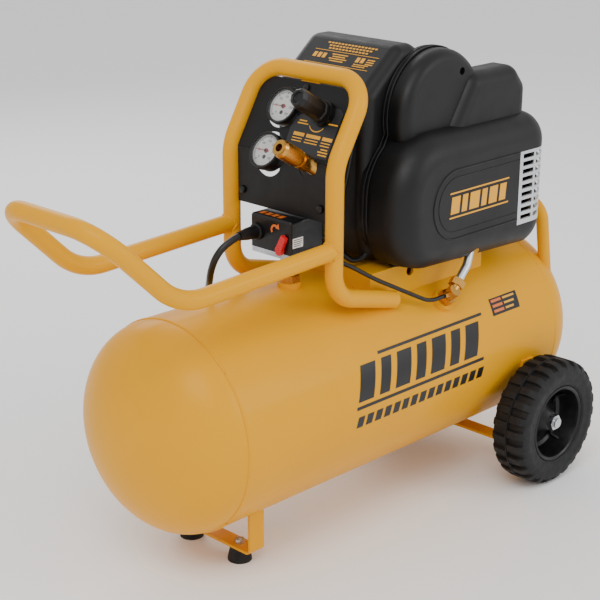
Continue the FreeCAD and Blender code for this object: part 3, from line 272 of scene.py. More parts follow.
def metal(name, hex_text, roughness, spread, spacing, stretch):
    """A metal with fine tool or rolling marks, stretched along one axis."""
    tree, surface, place = finish(name, hex_text, roughness, 1.0)
    turn = add_node(tree, "ShaderNodeMapping", {"Scale": stretch}, {"Vector": place})
    mottle(tree, surface, turn.outputs["Vector"], spacing, roughness - spread,
           roughness + spread)
    grain(tree, surface, turn.outputs["Vector"], spacing * 0.6, 0.12, 0.1 * MM)


def metals():
    """Brass with turning marks, zinc-plated steel with cloudy shine, aluminium with drawing
    lines or a dull cast skin, and iron with coarse tool marks."""
    metal("machined_brass", "C9974A", 0.30, 0.08, 2 * MM, (1, 1, 4))
    metal("zinc_plated_steel", "C3C5C8", 0.32, 0.10, 3 * MM, (1, 1, 1))
    metal("drawn_aluminium", "D5D7DA", 0.36, 0.08, 2 * MM, (3, 3, 1))
    metal("cast_aluminium", "A8AAAD", 0.52, 0.10, 2 * MM, (1, 1, 1))
    metal("machined_iron", "5C5D60", 0.45, 0.10, 2 * MM, (1, 4, 1))


def prints():
    """Enamelled dial, screen-printed inks and vinyl labels: flat layers, faint ink grain."""
    for name, hex_text, roughness in (
            ("dial_enamel", "F3F2EC", 0.45), ("ink_black", "070708", 0.38),
            ("ink_yellow", "E8A300", 0.42), ("ink_orange", "D86A1E", 0.42),
            ("ink_red", "C9281F", 0.40), ("vinyl_grey", "1E1E20", 0.46),
            ("vinyl_white", "E6E6E2", 0.42)):
        tree, surface, place = finish(name, hex_text, roughness)
        grain(tree, surface, place, 1.2 * MM, 0.08, 0.1 * MM)


def lens_acrylic():
    """Clear acrylic gauge lens: polished, with a very slight moulded waviness."""
    tree, surface, place = finish("lens_acrylic", "FFFFFF", 0.02, IOR=1.49,
                                  **{"Transmission Weight": 1.0})
    grain(tree, surface, place, 20 * MM, 0.02, 0.1 * MM)


# ---------------------------------------------------------------- mesh helpers
def new_piece(name, mesh, material, body=ROOT, smooth=True, replaces=()):
    """Makes an object from mesh data, gives it its finish and lets it ride on a body."""
    piece = bpy.data.objects.new(name, mesh)
    bpy.context.scene.collection.objects.link(piece)
    mesh.materials.append(MATERIALS[material])
    if smooth:
        mesh.polygons.foreach_set("use_smooth", [True] * len(mesh.polygons))
    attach(piece, body)
    if replaces:
        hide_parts(*replaces)
    return piece


def mesh_from(name, corners, faces):
    """Mesh data from corner points and faces."""
    made = bpy.data.meshes.new(name)
    made.from_pydata([tuple(corner) for corner in corners], [], faces)
    made.validate()
    made.update()
    return made


def mark_sharp(mesh, degrees=35):
    """Keeps creases crisp where faces meet at more than the given angle."""
    work = bmesh.new()
    work.from_mesh(mesh)
    bmesh.ops.recalc_face_normals(work, faces=work.faces)
    for edge in work.edges:
        edge.smooth = len(edge.link_faces) != 2 or edge.calc_face_angle(0) < math.radians(degrees)
    work.to_mesh(mesh)
    work.free()


def lathe(name, profile, origin, axis, steps=64):
    """Turns (radius, height) points about an axis through an origin; returns mesh data."""
    side = axis.orthogonal().normalized()
    other = axis.cross(side).normalized()
    corners, faces = [], []
    for step in range(steps):
        angle = step * math.tau / steps
        way = side * math.cos(angle) + other * math.sin(angle)
        corners += [origin + way * radius + axis * height for radius, height in profile]
    count = len(profile)
    for step in range(steps):
        here, there = step * count, ((step + 1) % steps) * count
        for index in range(count - 1):
            faces.append((here + index, there + index, there + index + 1, here + index + 1))
    made = mesh_from(name, corners, faces)
    work = bmesh.new()
    work.from_mesh(made)
    bmesh.ops.remove_doubles(work, verts=work.verts, dist=1e-6)
    work.to_mesh(made)
    work.free()
    mark_sharp(made)
    return made


def arc(centre_x, centre_z, radius, start, end, steps):
    """Points (x, z) on an arc, angles in degrees."""
    spots = []
    for step in range(steps + 1):
        angle = math.radians(start + (end - start) * step / steps)
        spots.append((centre_x + radius * math.cos(angle), centre_z + radius * math.sin(angle)))
    return spots


def on_tank(x, angle, lift):
    """A point on the tank's side; the angle is above the near horizontal."""
    radius = TANK_RADIUS + lift
    return Vector((x, -radius * math.cos(angle), TANK_Z + radius * math.sin(angle)))


# ---------------------------------------------------------------- supply cord
CORD_ROUTE = [(-139, 20, 446), (-160, 22, 440), (-175, 28, 423), (-176, 38, 400),
              (-166, 52, 379), (-146, 76, 362), (-124, 106, 341), (-106, 136, 309),
              (-96, 160, 264), (-90, 172, 212), (-86, 177, 158), (-78, 181, 108),
              (-64, 187, 66), (-42, 193, 34), (-12, 203, 15), (34, 213, 10)]


def coil_points(centre, diameter):
    """Three turns: outer and inner on the floor, the last resting on top of them."""
    gap = diameter * 1.05
    low, high = box("cord_coil")
    mean = (high.x - low.x) / 2 - 11 * MM
    floor = diameter * 0.52
    layers = [(mean + gap / 2, floor), (mean - gap / 2, floor), (mean, floor + diameter * 0.93)]
    points = []
    per_turn = 16
    for turn, (radius, height) in enumerate(layers):
        after = layers[min(turn + 1, len(layers) - 1)]
        for step in range(per_turn):
            # the last quarter of a turn climbs or steps in to the next
            share = max(0.0, step / per_turn - 0.75) * 4
            reach = radius + (after[0] - radius) * share
            rise = height + (after[1] - height) * share
            angle = -math.pi / 2 + step * math.tau / per_turn
            # control points lie a little outside the curve that they pull
            reach /= math.cos(math.pi / per_turn) ** 0.5
            points.append(centre + Vector((math.cos(angle) * reach, math.sin(angle) * reach,
                                           rise)))
    return points


def round_strand(name, kind, spots, radius, roundness, material):
    """A round strand along points, fixed to the frame: a NURBS curve bends smoothly, and a POLY
    one runs straight from point to point. The spline is whole before the object is made."""
    curve = bpy.data.curves.new(name, "CURVE")
    curve.dimensions = "3D"
    curve.bevel_depth = radius
    curve.bevel_resolution = roundness
    curve.use_fill_caps = True
    spline = curve.splines.new(kind)
    spline.points.add(len(spots) - 1)
    for point, spot in zip(spline.points, spots):
        point.co = (*spot, 1.0)
    spline.use_smooth = True
    if kind == "NURBS":
        spline.order_u = 3
        spline.use_endpoint_u = True
    piece = bpy.data.objects.new(name, curve)
    bpy.context.scene.collection.objects.link(piece)
    curve.materials.append(MATERIALS[material])
    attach(piece, ROOT)
    return piece


class COMPRESSOR_OT_cord(bpy.types.Operator):
    """Lays the supply cord over the tank and winds its spare length behind it"""
    bl_idname = "compressor.cord"
    bl_label = "Supply cord"

    def execute(self, context):
        settings = context.scene.compressor_cord
        size = settings.diameter
        route = [Vector(point) * MM for point in CORD_ROUTE]
        low, high = box("cord_coil")
        centre = Vector(((low.x + high.x) / 2, (low.y + high.y) / 2, 0))
        turns = coil_points(centre, size)
        plug_low, plug_high = box("power_plug")
        tail = Vector((plug_low.x, (plug_low.y + plug_high.y) / 2, 11 * MM))
        leave = [Vector((centre.x + 2 * MM, tail.y, size * 1.45)),
                 tail + Vector((-10 * MM, 0, 4 * MM)), tail + Vector((2 * MM, 0, 0))]
        cord = round_strand("supply_cord", "NURBS", route + turns + leave, size / 2, 5,
                            "cord_jacket_black")
        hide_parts("power_cord", "cord_coil")
        return {"FINISHED"}


# ---------------------------------------------------------------- finishes on CAD nodes
NODE_FINISH = {
    "powder_coat_yellow": ["tank_shell", "tank_head_front", "tank_head_rear", "tank_bungs",
                           "pump_saddle", "front_foot_bracket", "axle_bracket", "control_loop",
                           "rear_hoop", "handle", "panel_tabs"],
    "powder_coat_black": ["control_panel", "tank_gauge_case", "outlet_gauge_case",
                          "panel_screws"],
    "moulded_abs_black": ["motor_shroud", "pump_shroud"],
    "moulded_nylon_black": ["wheel_rim_left", "wheel_rim_right", "regulator_body",
                            "regulator_knob", "switch_cover", "cord_strain_relief",
                            "drain_valve_knob", "cooling_fan", "power_plug"],
    "moulded_nylon_red": ["switch_lever", "tank_gauge_needle", "outlet_gauge_needle"],
    "vulcanised_rubber": ["tyre_left", "tyre_right", "foot_pads", "isolator_mounts"],
    "cord_jacket_black": ["unloader_tube", "motor_lead", "regulator_hose"],
    "machined_brass": ["coupler_body", "coupler_sleeve", "air_manifold", "safety_valve_body",
                       "check_valve"],
    "zinc_plated_steel": ["foot_screws", "axle_bolts", "switch_base", "safety_valve_ring",
                          "drain_valve_body", "shroud_screws", "rotor_shaft"],
    "drawn_aluminium": ["cooling_grille", "discharge_tube"],
    "cast_aluminium": ["crankcase", "wobble_piston", "pump_cylinder", "cylinder_head"],
    "machined_iron": ["motor_stator", "crank_eccentric"],
    "dial_enamel": ["gauge_dials"],
    "lens_acrylic": ["gauge_lenses"],
}


class COMPRESSOR_OT_finishes(bpy.types.Operator):
    """Makes every material and gives the frame's own parts their finishes"""
    bl_idname = "compressor.finishes"
    bl_label = "Finishes"

    def execute(self, context):
        settings = context.scene.compressor_finish
        powder_coat(settings)
        powder_coat_black()
        moulded_abs(settings)
        moulded_nylon()
        red_nylon()
        tyre_rubber()
        cord_jacket()
        metals()
        prints()
        lens_acrylic()
        for material, names in NODE_FINISH.items():
            for name in names:
                slots = frame["nodes"][name].material_slots
                for slot in slots:
                    slot.material = MATERIALS[material]
        return {"FINISHED"}


# ---------------------------------------------------------------- stage
class COMPRESSOR_OT_stage(bpy.types.Operator):
    """Sets the floor, soft lights and camera"""
    bl_idname = "compressor.stage"
    bl_label = "Stage"

    def execute(self, context):
        settings = context.scene.compressor_stage
        self.camera(context, settings)
        self.floor(settings)
        self.lights(context, settings)
        return {"FINISHED"}

    def camera(self, context, settings):
        """A long lens near the front corner, looking down at the machine."""
        data = bpy.data.cameras.new("studio_camera")
        data.lens = settings.lens
        data.sensor_width = 36
        data.shift_x, data.shift_y = settings.shift
        camera = bpy.data.objects.new("studio_camera", data)
        around, up = settings.azimuth, settings.elevation
        way = Vector((math.sin(around) * math.cos(up), -math.cos(around) * math.cos(up),
                      math.sin(up)))
        target = Vector(settings.target)
        camera.location = target + way * settings.distance
        camera.rotation_euler = (-way).to_track_quat("-Z", "Y").to_euler()
        context.scene.collection.objects.link(camera)
        context.scene.camera = camera

    def floor(self, settings):
        """A plain pale sheet, 24 m square."""
        half = 12.0
        corners = [(-half, -half, 0), (half, -half, 0), (half, half, 0), (-half, half, 0)]
        floor = bpy.data.objects.new("floor", mesh_from("floor", corners, [(0, 1, 2, 3)]))
        bpy.context.scene.collection.objects.link(floor)
        tree, surface, place = finish("studio_floor", settings.floor, 0.75)
        grain(tree, surface, place, 4 * MM, 0.05)
        floor.data.materials.append(MATERIALS["studio_floor"])

    def lights(self, context, settings):
        """A white surround and three soft boxes: key, side and rim."""
        world = bpy.data.worlds.new("studio_world")
        world.use_nodes = True
        surround = world.node_tree.nodes["Background"].inputs
        surround["Color"].default_value = linear("FFFFFF")
        surround["Strength"].default_value = settings.daylight
        context.scene.world = world
        for name, spot, size, power in (
                ("key_light", (-1.6, -1.2, 2.6), 1.6, 38),
                ("side_light", (1.4, -2.4, 1.5), 1.2, 18),
                ("rim_light", (1.0, 2.2, 1.8), 1.4, 20)):
            data = bpy.data.lights.new(name, "AREA")
            data.size = size
            data.energy = power
            light = bpy.data.objects.new(name, data)
            light.location = spot
            aim = Vector((0, 0, 0.35)) - Vector(spot)
            light.rotation_euler = aim.to_track_quat("-Z", "Y").to_euler()
            context.scene.collection.objects.link(light)


# ---------------------------------------------------------------- wheels
class COMPRESSOR_OT_tyres(bpy.types.Operator):
    """Moulds semi-solid tyres with two staggered rows of tread pockets"""
    bl_idname = "compressor.tyres"
    bl_label = "Tyres"

    def execute(self, context):
        settings = context.scene.compressor_tyre
        for side, name in ((-1, "left"), (1, "right")):
            mesh = self.tyre(name, side, settings)
            new_piece(f"treaded_tyre_{name}", mesh, "vulcanised_rubber", f"wheel_{name}",
                      replaces=[f"tyre_{name}"])
        return {"FINISHED"}

    def tyre(self, name, side, settings):
        """Tyre mesh: one ring of points for each edge of each tread block, bead to bead."""
        low, high = box(f"tyre_{name}")
        centre, radius, half = (low + high) / 2, (high.z - low.z) / 2, (high.y - low.y) / 2
        bead = 60.5 * MM
        crown = [-half + 1 * MM, -half + 3 * MM, -half + 8 * MM, -half + 14 * MM, -12 * MM,
                 -3 * MM, -1.6 * MM, -0.8 * MM, 0.8 * MM, 1.6 * MM, 3 * MM, 12 * MM,
                 half - 14 * MM, half - 8 * MM, half - 3 * MM, half - 1 * MM]
        steps = (0.0, 0.06, 0.47, 0.53)
        corners, faces = [], []
        for lug in range(settings.lugs):
            for step in steps:
                angle = (lug + step) * math.tau / settings.lugs
                way = Vector((math.cos(angle), 0, math.sin(angle)))
                ring = [(bead, -half + 8 * MM), (bead + 1 * MM, -half + 3.5 * MM),
                        (bead + 4 * MM, -half + 1.2 * MM), (radius - 22 * MM, -half),
                        (radius - 20 * MM, -half - 0.6 * MM)]
                ring += [(self.crown(y, half, radius) - self.pocket(y, step, half, settings), y)
                         for y in crown]
                ring += [(radius - 20 * MM, half + 0.6 * MM), (radius - 22 * MM, half),
                         (bead + 4 * MM, half - 1.2 * MM), (bead + 1 * MM, half - 3.5 * MM),
                         (bead, half - 8 * MM)]
                corners += [centre + way * reach + Y * y * side for reach, y in ring]
        count, rings = len(ring), settings.lugs * len(steps)
        for index in range(rings):
            here, there = index * count, ((index + 1) % rings) * count
            for part in range(count):
                after = (part + 1) % count
                faces.append((here + part, there + part, there + after, here + after))
        mesh = mesh_from(f"treaded_tyre_{name}", corners, faces)
        mark_sharp(mesh, 28)
        return mesh

    def crown(self, y, half, radius):
        """Tyre radius across its width: flat crown, rounded shoulders."""
        over = max(0.0, abs(y) - (half - 14 * MM)) / (13.5 * MM)
        return radius - 13 * MM * (1 - math.sqrt(max(0.0, 1 - min(over, 1.0) ** 2)))

    def pocket(self, y, step, half, settings):
        """Depth of the tread pockets; the two rows are half a pitch apart."""
        if abs(y) < 1 * MM:
            return 0.0
        inside = step in (0.06, 0.47) if y > 0 else step in (0.53, 0.0)
        if not inside:
            return settings.groove * 0.25 if abs(y) < 2 * MM else 0.0
        fade = min(1.0, max(0.0, (half - 2 * MM - abs(y)) / (7 * MM)))
        start = 1.0 if abs(y) > 1.2 * MM else 0.25
        return settings.groove * start * (0.35 + 0.65 * fade)


class COMPRESSOR_OT_rims(bpy.types.Operator):
    """Moulds dished rims with a hub cone and webs in the trough"""
    bl_idname = "compressor.rims"
    bl_label = "Rims"

    def execute(self, context):
        for side, name in ((-1, "left"), (1, "right")):
            self.rim(side, name)
        return {"FINISHED"}

    def rim(self, side, name):
        """A turned dish from hub to bead seat, with four webs behind the dish."""
        low, high = box(f"tyre_{name}")
        centre, half = (low + high) / 2, (high.y - low.y) / 2 / MM
        hub_low, hub_high = box(f"wheel_rim_{name}")
        inner = -max(abs(hub_low.y - centre.y), abs(hub_high.y - centre.y)) / MM
        profile = [(8.1, half - 17), (13, half - 17), (14.5, half - 18), (19, half - 24),
                   (29, half - 33), (36, half - 38), (43, half - 39), (48, half - 36),
                   (51, half - 28), (53.5, half - 10), (55, half - 4.5), (57.5, half - 2.6),
                   (60.2, half - 3.4), (61, half - 6), (60.4, half - 9), (60.4, 9 - half),
                   (61, 6 - half), (58, 4 - half), (54, 8 - half), (50, -6), (40, -10),
                   (24, -12), (20, inner + 4), (18, inner), (8.1, inner)]
        profile.append(profile[0])
        scaled = [(reach * MM, height * MM) for reach, height in profile]
        mesh = lathe(f"dished_rim_{name}", scaled, centre, Y * side, 96)
        new_piece(f"dished_rim_{name}", mesh, "moulded_nylon_black", f"wheel_{name}",
                  replaces=[f"wheel_rim_{name}"])
        first_web = 38
        for index in range(4):
            angle = math.radians(first_web + index * 90)
            way = Vector((math.cos(angle), 0, math.sin(angle)))
            across = Y.cross(way) * 1.6 * MM
            outline = [(24, half - 29), (33, half - 33), (44, half - 34), (52, half - 22),
                       (52, half - 42), (24, half - 42)]
            flat = [centre + way * reach * MM + Y * side * height * MM
                    for reach, height in outline]
            corners = [spot + across for spot in flat] + [spot - across for spot in flat]
            count = len(flat)
            faces = [tuple(range(count)), tuple(range(2 * count - 1, count - 1, -1))]
            faces += [(edge, edge + count, (edge + 1) % count + count, (edge + 1) % count)
                      for edge in range(count)]
            web = mesh_from(f"rim_web_{name}_{index}", corners, faces)
            mark_sharp(web)
            new_piece(f"rim_web_{name}_{index}", web, "moulded_nylon_black", f"wheel_{name}",
                      smooth=False)


# ---------------------------------------------------------------- weld beads
def bead(name, points, radius, ripple=0.16):
    """A closed weld bead: a tube along points whose size ripples like laid filler."""
    count, around = len(points), 8
    corners, faces = [], []
    for index, spot in enumerate(points):
        before, after = points[index - 1], points[(index + 1) % count]
        along = (after - before).normalized()
        side = along.orthogonal().normalized()
        other = along.cross(side)
        size = radius * (1 + ripple * math.sin(index * 2.1))
        for step in range(around):
            angle = step * math.tau / around
            corners.append(spot + (side * math.cos(angle) + other * math.sin(angle)) * size)
    for index in range(count):
        here, there = index * around, ((index + 1) % count) * around
        for step in range(around):
            after = (step + 1) % around
            faces.append((here + step, there + step, there + after, here + after))
    mesh = mesh_from(name, corners, faces)
    new_piece(name, mesh, "powder_coat_yellow", ROOT)


def cope(origin, direction, radius, big_origin, big_axis, big_radius, steps=72):
    """Points where a tube's surface meets a larger tube's surface."""
    side = direction.orthogonal().normalized()
    other = direction.cross(side)
    points = []
    for step in range(steps):
        angle = step * math.tau / steps
        start = origin + (side * math.cos(angle) + other * math.sin(angle)) * radius
        offset = start - big_origin
        offset -= big_axis * offset.dot(big_axis)
        way = direction - big_axis * direction.dot(big_axis)
        a, b, c = way.dot(way), 2 * way.dot(offset), offset.dot(offset) - big_radius ** 2
        inside = max(0.0, b * b - 4 * a * c)
        points.append(start + direction * ((-b - math.sqrt(inside)) / (2 * a)))
    return points


class COMPRESSOR_OT_welds(bpy.types.Operator):
    """Lays weld beads on the tank seams and where tubes meet"""
    bl_idname = "compressor.welds"
    bl_label = "Welds"

    def execute(self, context):
        sunk = TANK_RADIUS - 1.4 * MM
        for name, x in (("front", TANK_LOW.x), ("rear", TANK_HIGH.x)):
            ring = [Vector((x, sunk * math.cos(step * math.tau / 360),
                            TANK_Z + sunk * math.sin(step * math.tau / 360)))
                    for step in range(360)]
            bead(f"seam_bead_{name}", ring, 2.1 * MM, 0.06)
        loop_low, loop_high = box("control_loop")
        upright_x, half = loop_low.x + FRAME_TUBE, loop_high.y - FRAME_TUBE
        # the handle meets the uprights 438 mm up, rising 43 mm in each metre
        meet_z, rise, back = 438 * MM, 0.043, 90 * MM
        way = Vector((1, 0, rise)).normalized()
        for side in (-1, 1):
            near = Vector((upright_x - back, side * half, meet_z - back * rise))
            upright = Vector((upright_x, side * half, 0))
            ring = cope(near, way, FRAME_TUBE, upright, Z, FRAME_TUBE + 0.3 * MM)
            bead(f"handle_weld_{side + 1}", ring, 1.9 * MM)
        return {"FINISHED"}


# ---------------------------------------------------------------- gauges and controls
def join_outlines(name, outlines, way, thick, material):
    """One piece of several thin flat plates, each raised from its outline along a direction."""
    corners, faces = [], []
    for spots in outlines:
        start, count = len(corners), len(spots)
        corners += list(spots) + [spot + way * thick for spot in spots]
        faces.append(tuple(start + index for index in range(count - 1, -1, -1)))
        faces.append(tuple(start + count + index for index in range(count)))
        faces += [(start + edge, start + (edge + 1) % count, start + (edge + 1) % count + count,
                   start + edge + count) for edge in range(count)]
    mesh = mesh_from(name, corners, faces)
    mark_sharp(mesh)
    new_piece(name, mesh, material, ROOT, smooth=False)


def dial_spot(centre, reach, degrees):
    """A point on a dial, at an angle from its right-hand side."""
    angle = math.radians(degrees)
    return centre + (RIGHT * math.cos(angle) + UPSLOPE * math.sin(angle)) * reach


class COMPRESSOR_OT_gauges(bpy.types.Operator):
    """Prints the dials, and adds bezels and pointer caps"""
    bl_idname = "compressor.gauges"
    bl_label = "Gauges"

    def execute(self, context):
        for name in ("tank", "outlet"):
            centre = Vector(joint_named(f"{name}_pointer_swing")["pos_m"])
            face = centre - OUTWARD * DIAL_DEPTH
            self.ticks(name, face)
            self.numbers(name, face)
            self.bezel(name, centre)
        return {"FINISHED"}

    def ticks(self, name, face):
        """Sixty divisions over 270 degrees, every tenth long, with a hub and a spot below it."""
        outlines = []
        for index in range(61):
            degrees = 225 - index * 4.5
            long = index % 10 == 0
            inner = (17.6 if long else 19.4) * MM
            wide = 1.5 if long else 0.7
            outlines.append([dial_spot(face, inner, degrees + wide),
                             dial_spot(face, 21.4 * MM, degrees + wide * 0.8),
                             dial_spot(face, 21.4 * MM, degrees - wide * 0.8),
                             dial_spot(face, inner, degrees - wide)])
        hub = [dial_spot(face, 3.4 * MM, step * 22.5) for step in range(16)]
        plate = [dial_spot(face - UPSLOPE * 9 * MM, 3.2 * MM, step * 45) for step in range(8)]
        join_outlines(f"{name}_dial_marks", outlines + [hub, plate], OUTWARD, 0.12 * MM,
                      "ink_black")

    def numbers(self, name, face):
        """Figures 0 to 300 inside the long ticks."""
        for index in range(7):
            degrees = 225 - index * 45
            data = bpy.data.curves.new(f"{name}_dial_number_{index}", "FONT")
            data.body = str(index * 50)
            data.size = 4.6 * MM
            data.extrude = 0.05 * MM
            data.align_x = "CENTER"
            data.align_y = "CENTER"
            spot = dial_spot(face, 14.0 * MM, degrees) + OUTWARD * 0.08 * MM
            turn = Matrix((RIGHT, UPSLOPE, OUTWARD)).transposed().to_4x4()
            made = bpy.data.objects.new(data.name, data)
            bpy.context.scene.collection.objects.link(made)
            made.matrix_world = Matrix.Translation(spot) @ turn
            data.materials.append(MATERIALS["ink_black"])
            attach(made, ROOT)

    def bezel(self, name, centre):
        """The case's rolled rim, and the pointer's cap."""
        profile = [(22.6, 4.6), (22.9, 5.6), (24.0, 6.6), (25.4, 6.9), (26.4, 6.2), (26.7, 4.8),
                   (26.7, -3), (26.1, -3), (26.1, 4.6), (22.6, 4.6)]
        mesh = lathe(f"{name}_bezel", [(reach * MM, height * MM) for reach, height in profile],
                     centre - OUTWARD * 1.4 * MM, OUTWARD, 72)
        new_piece(f"{name}_bezel", mesh, "moulded_nylon_black", ROOT)
        cap = lathe(f"{name}_pointer_cap", [(0, 2.6 * MM), (1.6 * MM, 2.4 * MM),
                                            (2.4 * MM, 1.6 * MM), (2.5 * MM, 0.9 * MM),
                                            (0, 0.9 * MM)], centre, OUTWARD, 24)
        new_piece(f"{name}_pointer_cap", cap, "moulded_nylon_black", f"{name}_pointer")


class COMPRESSOR_OT_knob(bpy.types.Operator):
    """Moulds the regulator's faceted knob with its collar"""
    bl_idname = "compressor.knob"
    bl_label = "Regulator knob"

    def execute(self, context):
        low, high = box("regulator_knob")
        axis_spot = Vector(joint_named("regulator_turn")["pos_m"])
        reach = ((low + high) / 2 - axis_spot).dot(OUTWARD)
        base = axis_spot + OUTWARD * (reach - 27.5 * MM)
        profile = [(0, 51), (7.5, 51), (8.2, 53.5), (10.6, 54.8), (12.6, 53.2), (14.3, 49),
                   (14.8, 40), (14.8, 12), (14.2, 9), (15.8, 7.4), (16.2, 3.5), (15.4, 0.4),
                   (5.1, 0.4)]
        scaled = [(size * MM, height * MM) for size, height in profile]
        mesh = lathe("faceted_knob", scaled, base, OUTWARD, 8)
        knob = new_piece("faceted_knob", mesh, "moulded_nylon_black", "regulator_grip",
                         smooth=False, replaces=["regulator_knob"])
        soften = knob.modifiers.new("soften", "BEVEL")
        soften.width = 0.8 * MM
        soften.segments = 3
        soften.limit_method = "ANGLE"
        return {"FINISHED"}


# ---------------------------------------------------------------- screw heads
def screw_head(name, spot, way, radius):
    """A black pan head. Its cross recess is painted shade: a flat dark cross laid on the dome
    instead of a hollow.
    """
    dome = [(radius, 0), (radius, radius * 0.28), (radius * 0.86, radius * 0.5),
            (radius * 0.5, radius * 0.62), (0, radius * 0.66)]
    mesh = lathe(name, dome, spot, way, 32)
    new_piece(name, mesh, "moulded_nylon_black", ROOT)
    side = way.orthogonal().normalized()
    other = way.cross(side)
    # painted shade: the cross recess is a thin black ink cross standing on the dome, dark where a
    # real recess would only be shaded
    recess_shade_arms = []
    for a, b in ((side, other), (other, side)):
        long, short = radius * 0.5, radius * 0.11
        recess_shade_arms.append([spot + way * radius * 0.64 + a * u * long + b * v * short
                     for u, v in ((-1, -1), (1, -1), (1, 1), (-1, 1))])
    join_outlines(f"{name}_cross_recess_shade", recess_shade_arms, way, 0.15 * MM, "ink_black")


class COMPRESSOR_OT_screws(bpy.types.Operator):
    """Adds the visible screw heads"""
    bl_idname = "compressor.screws"
    bl_label = "Screw heads"

    def execute(self, context):
        low, high = box("panel_screws")
        for side in (-1, 1):
            edge = high.y if side > 0 else low.y
            spot = Vector((self.front(), edge - side * 5 * MM, low.z + 5 * MM))
            screw_head(f"panel_screw_{side + 1}", spot, -X, SCREW_HEAD)
        upper = Vector(joint_named("outlet_pointer_swing")["pos_m"]) - OUTWARD * SCREW_DEPTH
        upper.y = 0
        screw_head("panel_screw_top", upper + UPSLOPE * 98 * MM, OUTWARD, SCREW_HEAD)
        return {"FINISHED"}

    def front(self):
        """Front plane of the two lower screws' heads."""
        return box("control_loop")[0].x + FRAME_TUBE - 2.0 * MM


# ---------------------------------------------------------------- printed graphics
def curved_bars(name, bars, material, lift=0.35 * MM):
    """Slanted blocks printed on the tank: x range, angle range and slant per block."""
    corners, faces = [], []
    steps = 10
    for low_x, high_x, low_a, high_a, slant in bars:
        start = len(corners)
        for step in range(steps + 1):
            share = step / steps
            angle = math.radians(low_a + (high_a - low_a) * share)
            shift = slant * share
            corners.append(on_tank(low_x + shift, angle, lift))
            corners.append(on_tank(high_x + shift, angle, lift))
        for step in range(steps):
            here = start + step * 2
            faces.append((here, here + 1, here + 3, here + 2))
    mesh = mesh_from(name, corners, faces)
    new_piece(name, mesh, material, ROOT)


class COMPRESSOR_OT_tank_graphics(bpy.types.Operator):
    """Prints a plain stripe motif and a small caution plate on the tank"""
    bl_idname = "compressor.tank_graphics"
    bl_label = "Tank graphics"

    def execute(self, context):
        start, end = -80 * MM, 207 * MM
        bars = [(start + 60 * MM, end + 6 * MM, 27.6, 29.2, 0.6 * MM),
                (start, end - 6 * MM, 2.6, 4.4, 0.6 * MM)]
        x = start + 4 * MM
        for index in range(7):
            wide = (31 if index % 2 == 0 else 21) * MM
            bars.append((x, x + wide, 6.6, 25.2, 16 * MM))
            x += wide + 12.5 * MM
        bars += [(start + step * 19 * MM, start + (step * 19 + 13) * MM, -7.5, -1.5, 4 * MM)
                 for step in range(15)]
        curved_bars("tank_stripes", bars, "ink_black")
        label = [(238.3 * MM, 304.3 * MM, 24.5, 34.5, 2 * MM)]
        curved_bars("caution_plate", label, "ink_black")
        left = label[0][0] + 5 * MM
        lines = [(left, left + 24 * MM, 26 + row * 3, 27.6 + row * 3, 0.0) for row in range(3)]
        curved_bars("caution_marks", lines, "ink_orange", 0.6 * MM)
        texts = [(left + 28 * MM, left + (48 + 4 * row) * MM, 26.2 + row * 3, 27.4 + row * 3, 0.0)
                 for row in range(3)]
        curved_bars("caution_lines", texts, "ink_yellow", 0.6 * MM)
        return {"FINISHED"}


class COMPRESSOR_OT_panel_graphics(bpy.types.Operator):
    """Prints the control panel's grey label with plain yellow marks"""
    bl_idname = "compressor.panel_graphics"
    bl_label = "Panel graphics"

    def execute(self, context):
        face = Vector(joint_named("outlet_pointer_swing")["pos_m"]) - OUTWARD * PANEL_DEPTH
        face.y = 0

        def spot(across, up):
            return face - Y * across * MM + UPSLOPE * up * MM

        # points are (across, up) in millimetres from the lower gauge's level
        label = [spot(*point) for point in ((6, 6), (82, 6), (82, 72), (74, 78), (36, 78),
                                            (2, 56), (-2, 40), (0, 12))]
        join_outlines("panel_label", [label], OUTWARD, 0.2 * MM, "vinyl_grey")
        marks = []
        for column, wide in ((8, 20), (32, 26), (62, 18)):
            marks.append([spot(column, 31), spot(column + wide, 31), spot(column + wide, 36),
                          spot(column, 36)])
            for row in range(2):
                low = 23 + row * 4
                marks.append([spot(column, low), spot(column + wide * 0.92, low),
                              spot(column + wide * 0.92, low + 1.4), spot(column, low + 1.4)])
        for low, left, right in ((52, 10, 24), (48, 8, 28), (54, 60, 80), (10, 64, 80),
                                 (14, 62, 80), (18, 66, 78)):
            marks.append([spot(left, low), spot(right, low), spot(right, low + 1.8),
                          spot(left, low + 1.8)])
        sweep = arc(44, 56, 16, 215, 325, 8)
        for (x1, y1), (x2, y2) in zip(sweep, sweep[1:]):
            marks.append([spot(x1, y1), spot(x2, y2), spot(x2, y2 + 1.6), spot(x1, y1 + 1.6)])
        marks = [[point + OUTWARD * 0.2 * MM for point in outline] for outline in marks]
        join_outlines("panel_marks", marks, OUTWARD, 0.12 * MM, "ink_yellow")
        return {"FINISHED"}


# ---------------------------------------------------------------- cover and switch details
def cover_bead(name, flat_spots, y, radius):
    """A moulded bead on the covers, through (x, z) points in millimetres at one y."""
    spots = [(x * MM, y, z * MM) for x, z in flat_spots]
    round_strand(name, "POLY", spots, radius, 3, "moulded_abs_black")


